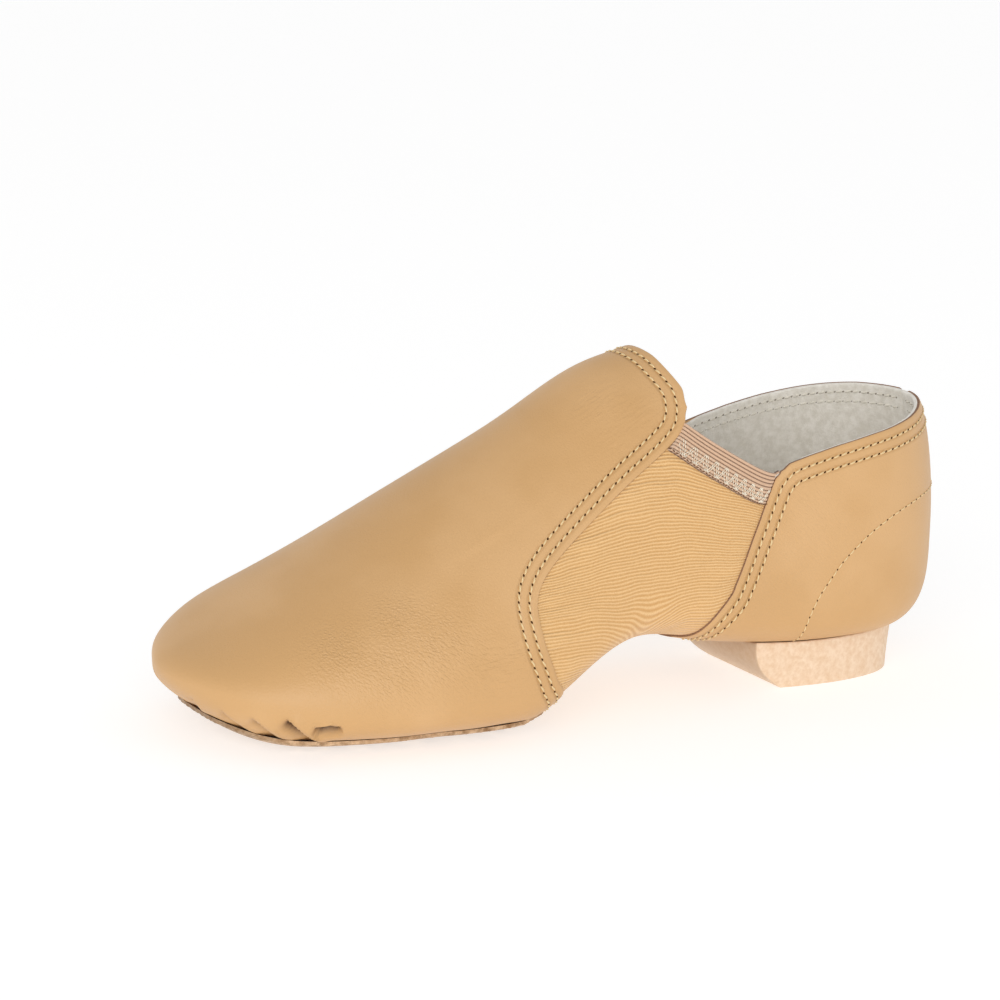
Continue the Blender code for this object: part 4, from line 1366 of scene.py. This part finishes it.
class SHOE_OT_insole(bpy.types.Operator):
    """Makes the sock that lies on the insole, from the heel to the toes"""

    bl_idname = "shoe.insole"
    bl_label = "Insole"

    def execute(self, context):
        rows, columns = np.linspace(0, 1, INSOLE_ROWS), np.linspace(-1, 1, INSOLE_COLUMNS)
        share, reach = np.meshgrid(rows, columns, indexing="ij")
        at = mix(INSOLE_BACK, INSOLE_FRONT, np.sin(np.pi / 2 * share) ** 2)
        shift, half = (np.interp(place_of(at), PLACES, FORM[name]) for name in ("shift", "half"))
        x, y = BALL_WIDTH * (shift + INSOLE_SHARE * reach * half), LENGTH * (0.5 - at)
        height = np.vectorize(seat_height)(x, y) + INSOLE_DEPTH
        down = np.zeros(x.shape + (3,)) - np.array([0, 0, 1])
        shape = sheet_mesh(np.stack([x, y, height], axis=-1), down, INSOLE_THICKNESS, None, 0.0005)
        new_piece("insole_sock", shape, [material_named("microfibre_suede")], "sock", "insole")
        return {"FINISHED"}


# The forefoot sole: the counts of its grid; its back and front as shares of the vamp's length, and how much
# less far its front's corners reach; the line that its outer edge lies on; its thickness at its edge; the
# share of its length over which its back is tucked up; how ragged its edge is; and the height under which
# its underside is set on the floor
SOLE_COLUMNS = 81
SOLE_ROWS = 121
SOLE_BACK = 0.03
SOLE_FRONT = 0.755
SOLE_CORNER = 0.155
SOLE_LINE = 11.0
SOLE_RIM = 0.0009
SOLE_TUCK = 0.12
SOLE_FRAY = 0.00025
SOLE_FLAT = 0.00025


class SHOE_OT_sole(bpy.types.Operator):
    """Makes the rough suede sole under the forefoot"""

    bl_idname = "shoe.sole"
    bl_label = "Forefoot sole"

    def execute(self, context):
        across, along = np.linspace(-1, 1, SOLE_COLUMNS), np.linspace(0, 1, SOLE_ROWS)
        across, along = np.meshgrid(across, along, indexing="ij")
        share = mix(SOLE_BACK, SOLE_FRONT - SOLE_CORNER * across**4, along)
        line = mix(MIDDLE_LINE, SOLE_LINE, np.abs(across))
        s, level = vamp_point(share, line)
        points = form(s, level, np.where(across < 0, 1, -1))
        normals = normals_of(points)
        bare = smooth(1 - along / SOLE_TUCK) * (1 - smooth((np.abs(across) - 0.5) / 0.2))
        top = points + normals * mix(GAP, -STRETCH_DEPTH - GAP, bare)[..., None]
        rim = np.maximum(np.abs(across), along) ** 8
        thick = mix(SOLE_THICKNESS, SOLE_RIM, rim)
        fray = np.random.default_rng(7).uniform(-1, 1, rim.shape) * SOLE_FRAY * (rim > 0.8)
        bottom = points + normals * GAP - np.stack([0 * rim, 0 * rim, thick + fray], axis=-1)
        bottom[..., :2] += normals[..., :2] * (0.8 * fray)[..., None]
        bottom[..., 2] = np.where(bottom[..., 2] > SOLE_FLAT, bottom[..., 2], 0)
        shape = bmesh.new()
        rows, columns = points.shape[:2]
        bmesh.ops.create_grid(shape, x_segments=columns - 1, y_segments=rows - 1, size=0.5)
        lower = shape.verts.layers.float_vector.new("out")
        spots = {}
        for vert in shape.verts:
            spots[vert] = (round((vert.co.y + 0.5) * (rows - 1)), round((vert.co.x + 0.5) * (columns - 1)))
        for vert, spot in spots.items():
            vert.co, vert[lower] = top[spot], bottom[spot]
        made = bmesh.ops.extrude_face_region(shape, geom=list(shape.faces))
        for item in made["geom"]:
            if isinstance(item, bmesh.types.BMVert):
                item.co = item[lower]
        bmesh.ops.recalc_face_normals(shape, faces=shape.faces)
        new_piece("suede_sole", shape, [material_named("sole_split_suede")], "suede_sole", "forefoot_sole")
        return {"FINISHED"}


# Heel block: its size; how far its back stands in from the shoe's; how far its breast sweeps back towards
# the floor and how late; its taper; its breast's share of its width; the roundness of its plan and its
# edges; and the counts of its grid and rings
BLOCK_LENGTH = 0.057
BLOCK_WIDTH = 0.047
BLOCK_BACK_INSET = 0.0120
BREAST_SWEEP = 0.0103
BLOCK_TAPER = 0.0015
BREAST_CURVE = 2.6
BREAST_WIDTH = 0.93
BLOCK_ROUND = 3.0
BLOCK_SOFT = 0.0005
BLOCK_ROWS = 40
BLOCK_ACROSS = 30
BLOCK_RINGS = 14


class SHOE_OT_heel(bpy.types.Operator):
    """Makes the heel block, its top fitting the seat, its breast swept back"""

    bl_idname = "shoe.heel"
    bl_label = "Heel"

    def execute(self, context):
        back = LENGTH / 2 - BLOCK_BACK_INSET
        middle = SECTIONS[0].shift * BALL_WIDTH
        shape = bmesh.new()
        bmesh.ops.create_grid(shape, x_segments=BLOCK_ACROSS, y_segments=BLOCK_ROWS, size=0.5)
        for vert in shape.verts:
            share = math.sin(math.pi / 2 * (vert.co.y + 0.5))
            x = middle + 2 * vert.co.x * block_half(share)
            y = back - BLOCK_LENGTH * (1 - share)
            vert.co = x, y, seat_height(x, y) - GAP
        bmesh.ops.remove_doubles(shape, verts=shape.verts, dist=WELD)
        plan = [edge for edge in shape.edges if edge.is_boundary]
        tops = {vert: vert.co.copy() for edge in plan for vert in edge.verts}
        for step in range(1, BLOCK_RINGS + 1):
            made = bmesh.ops.extrude_edge_only(shape, edges=plan)["geom"]
            plan = [item for item in made if isinstance(item, bmesh.types.BMEdge) and item.is_boundary]
            ring = {vert for edge in plan for vert in edge.verts}
            lower = {}
            for old, top in tops.items():
                new = next(edge.other_vert(old) for edge in old.link_edges if edge.other_vert(old) in ring)
                down = step / BLOCK_RINGS
                forward = (back - top.y) / BLOCK_LENGTH
                x = middle + (top.x - middle) * (1 - down * 2 * BLOCK_TAPER / BLOCK_WIDTH)
                y = top.y + BREAST_SWEEP * down**BREAST_CURVE * forward - BLOCK_TAPER * down * (1 - forward)
                new.co = x, y, top.z * (1 - down)
                lower[new] = top
            tops = lower
        bmesh.ops.edgeloop_fill(shape, edges=plan)
        bmesh.ops.recalc_face_normals(shape, faces=shape.faces)
        rim = [edge for edge in shape.edges if edge.calc_face_angle() > SHARP_EDGE]
        soft = {"offset": BLOCK_SOFT, "segments": 3, "profile": 0.5, "affect": "EDGES", "material": -1}
        bmesh.ops.bevel(shape, geom=rim, **soft)
        new_piece("heel_block", shape, [material_named("heel_suede")], "heel_block", "heel")
        return {"FINISHED"}


def block_half(share):
    """Half the block's width: share 0 at the breast, 1 at the back."""
    swell = mix(BREAST_WIDTH, 1.0, math.sin(math.pi / 2 * min(share * 2, 1.0)))
    return BLOCK_WIDTH / 2 * swell * max(1 - share**BLOCK_ROUND, 0.0) ** (1 / BLOCK_ROUND)


def seat_height(x, y):
    """The height of the leather's underside over a point of the heel block."""
    at = 0.5 - y / LENGTH
    if at >= HEEL_CENTRE:
        place = place_of(at)
    else:
        low, high = 0.0, place_of(HEEL_CENTRE)
        for _ in range(24):
            place = (low + high) / 2
            along = (HEEL_CENTRE - at) / max(HEEL_CENTRE - on_table("at", place), WELD)
            out = abs(x / BALL_WIDTH - on_table("shift", place)) / max(on_table("half", place), WELD)
            low, high = (place, high) if out > along else (low, place)
    found = {name: on_table(name, place) for name in Section._fields}
    out = abs(x / BALL_WIDTH - found["shift"]) / found["half"] if at >= HEEL_CENTRE else along
    wide = found["wide"] * INSTEP_HEIGHT
    return wide - (wide - underside(found)) * (1 - min(out, 1.0) ** found["low"]) ** (1 / found["low"])


def on_table(name, place):
    return float(np.interp(place, PLACES, FORM[name]))


class SHOE_OT_materials(bpy.types.Operator):
    """Makes the materials"""

    bl_idname = "shoe.materials"
    bl_label = "Materials"

    def execute(self, context):
        sizes, colours = settings()
        leather_material(colours, sizes)
        cut_edge_material(colours)
        stretch_material(colours)
        lining_material(colours)
        elastic_material(colours)
        thread_material("bonded_thread", colours.thread)
        thread_material("zigzag_thread", colours.zigzag)
        suede_material("sole_split_suede", colours.sole, colours.sole_deep, 0.4 * MM)
        suede_material("heel_suede", colours.heel, colours.heel_deep, 0.3 * MM)
        thread_material("lining_thread", colours.lining_thread)
        thread_material("dark_thread", colours.dark_thread)
        hole_material("needle_hole_shadow", colours.hole)
        hole_material("lining_hole_shadow", colours.lining_hole_shadow)
        return {"FINISHED"}


# The camera: its direction from the shoe, its distance and its aim
CAMERA_AZIMUTH = math.radians(60.57)
CAMERA_HEIGHT = math.radians(13.38)
CAMERA_ROLL = math.radians(1.64)
CAMERA_DISTANCE = 1.105
CAMERA_LENS = 138.35
AIM_RIGHT = -0.01805
AIM_UP = 0.0582


# The floor's own glow, the sky's brightness overhead as a share of the horizon's, and each lamp's place, size
# and power
FLOOR_GLOW = 0.56
ZENITH = 0.50
LAMPS = [
    ("key_lamp", (1.20, -0.85, 0.60), (1.0, 0.8), 9.0),
]


class SHOE_OT_stage(bpy.types.Operator):
    """Makes the floor, the lights and the camera"""

    bl_idname = "shoe.stage"
    bl_label = "Stage"

    def execute(self, context):
        scene, colours = context.scene, context.scene.shoe_colours
        a, e, r = CAMERA_AZIMUTH, CAMERA_HEIGHT, CAMERA_ROLL
        back = Vector((math.sin(a) * math.cos(e), -math.cos(a) * math.cos(e), math.sin(e)))
        right = Vector((math.cos(a), math.sin(a), 0))
        up = back.cross(right)
        turned_right = math.cos(r) * right + math.sin(r) * up
        turned_up = -math.sin(r) * right + math.cos(r) * up
        camera = bpy.data.cameras.new("camera")
        camera.lens = CAMERA_LENS
        camera.clip_start, camera.clip_end = 0.05, 50
        view = bpy.data.objects.new("camera", camera)
        scene.collection.objects.link(view)
        turn = Matrix((turned_right, turned_up, back)).transposed().to_4x4()
        turn.translation = AIM_RIGHT * turned_right + Vector((0, 0, AIM_UP)) + back * CAMERA_DISTANCE
        view.matrix_world = turn
        scene.camera = view

        shape = bmesh.new()
        bmesh.ops.create_grid(shape, x_segments=2, y_segments=2, size=6.0)
        mesh = bpy.data.meshes.new("floor")
        shape.to_mesh(mesh)
        shape.free()
        material, tree, shader, where = start_material("matt_paper", 0.9)
        patch = add_node(tree, "TexNoise", None, {"Vector": where, "Scale": 1 / 0.3})
        darker = [0.99 * part for part in colours.floor]
        tone = add_node(tree, "Mix", COLOURS, {0: patch, 6: colours.floor, 7: darker}, MIXED)
        tree.links.new(tone, shader.inputs["Base Color"])
        shader.inputs["Emission Color"].default_value = (1, 1, 1, 1)
        shader.inputs["Emission Strength"].default_value = FLOOR_GLOW
        mesh.materials.append(material)
        floor = bpy.data.objects.new("floor", mesh)
        scene.collection.objects.link(floor)

        world = bpy.data.worlds.new("studio")
        world.use_nodes = True
        sky = world.node_tree
        direction = add_node(sky, "TexCoord", output="Generated")
        height = add_node(sky, "SeparateXYZ", None, {0: direction}, "Z")
        height = add_node(sky, "MapRange", EASED, {"Value": height, "From Min": 0.1, "From Max": 0.9})
        light = add_node(sky, "Mix", COLOURS, {0: height, 6: (1, 1, 1), 7: (ZENITH, ZENITH, ZENITH)}, MIXED)
        sky.links.new(light, sky.nodes["Background"].inputs["Color"])
        scene.world = world
        for name, place, size, power in LAMPS:
            lamp = bpy.data.lights.new(name, "AREA")
            lamp.shape, lamp.size, lamp.size_y = "RECTANGLE", *size
            lamp.energy = power
            made = bpy.data.objects.new(name, lamp)
            made.location = place
            made.rotation_mode = "QUATERNION"
            made.rotation_quaternion = Vector(place).to_track_quat("Z", "Y")
            scene.collection.objects.link(made)
        scene.view_settings.view_transform = "Standard"
        return {"FINISHED"}


class SHOE_PT_panel(bpy.types.Panel):
    """Lists the shoe's settings and pieces"""

    bl_idname = "SHOE_PT_panel"
    bl_label = "Jazz shoe"
    bl_space_type = "VIEW_3D"
    bl_region_type = "UI"
    bl_category = "Jazz shoe"

    def draw(self, context):
        for group in settings():
            box = self.layout.box()
            for name in group.bl_rna.properties.keys():
                if name not in ("rna_type", "name"):
                    box.prop(group, name)
        for piece in PIECES:
            self.layout.operator(piece.bl_idname)


PIECES = (
    SHOE_OT_materials,
    SHOE_OT_vamp,
    SHOE_OT_quarters,
    SHOE_OT_stretch,
    SHOE_OT_lining,
    SHOE_OT_elastic,
    SHOE_OT_insole,
    SHOE_OT_sole,
    SHOE_OT_heel,
    SHOE_OT_stage,
)
CLASSES = (ShoeSizes, ShoeColours, *PIECES, SHOE_PT_panel)


def register():
    for each in CLASSES:
        bpy.utils.register_class(each)
    bpy.types.Scene.shoe_sizes = PointerProperty(type=ShoeSizes)
    bpy.types.Scene.shoe_colours = PointerProperty(type=ShoeColours)


def unregister():
    del bpy.types.Scene.shoe_colours
    del bpy.types.Scene.shoe_sizes
    for each in reversed(CLASSES):
        bpy.utils.unregister_class(each)


def main():
    register()
    for piece in PIECES:
        group, name = piece.bl_idname.split(".")
        getattr(getattr(bpy.ops, group), name)()


if __name__ == "__main__":
    main()
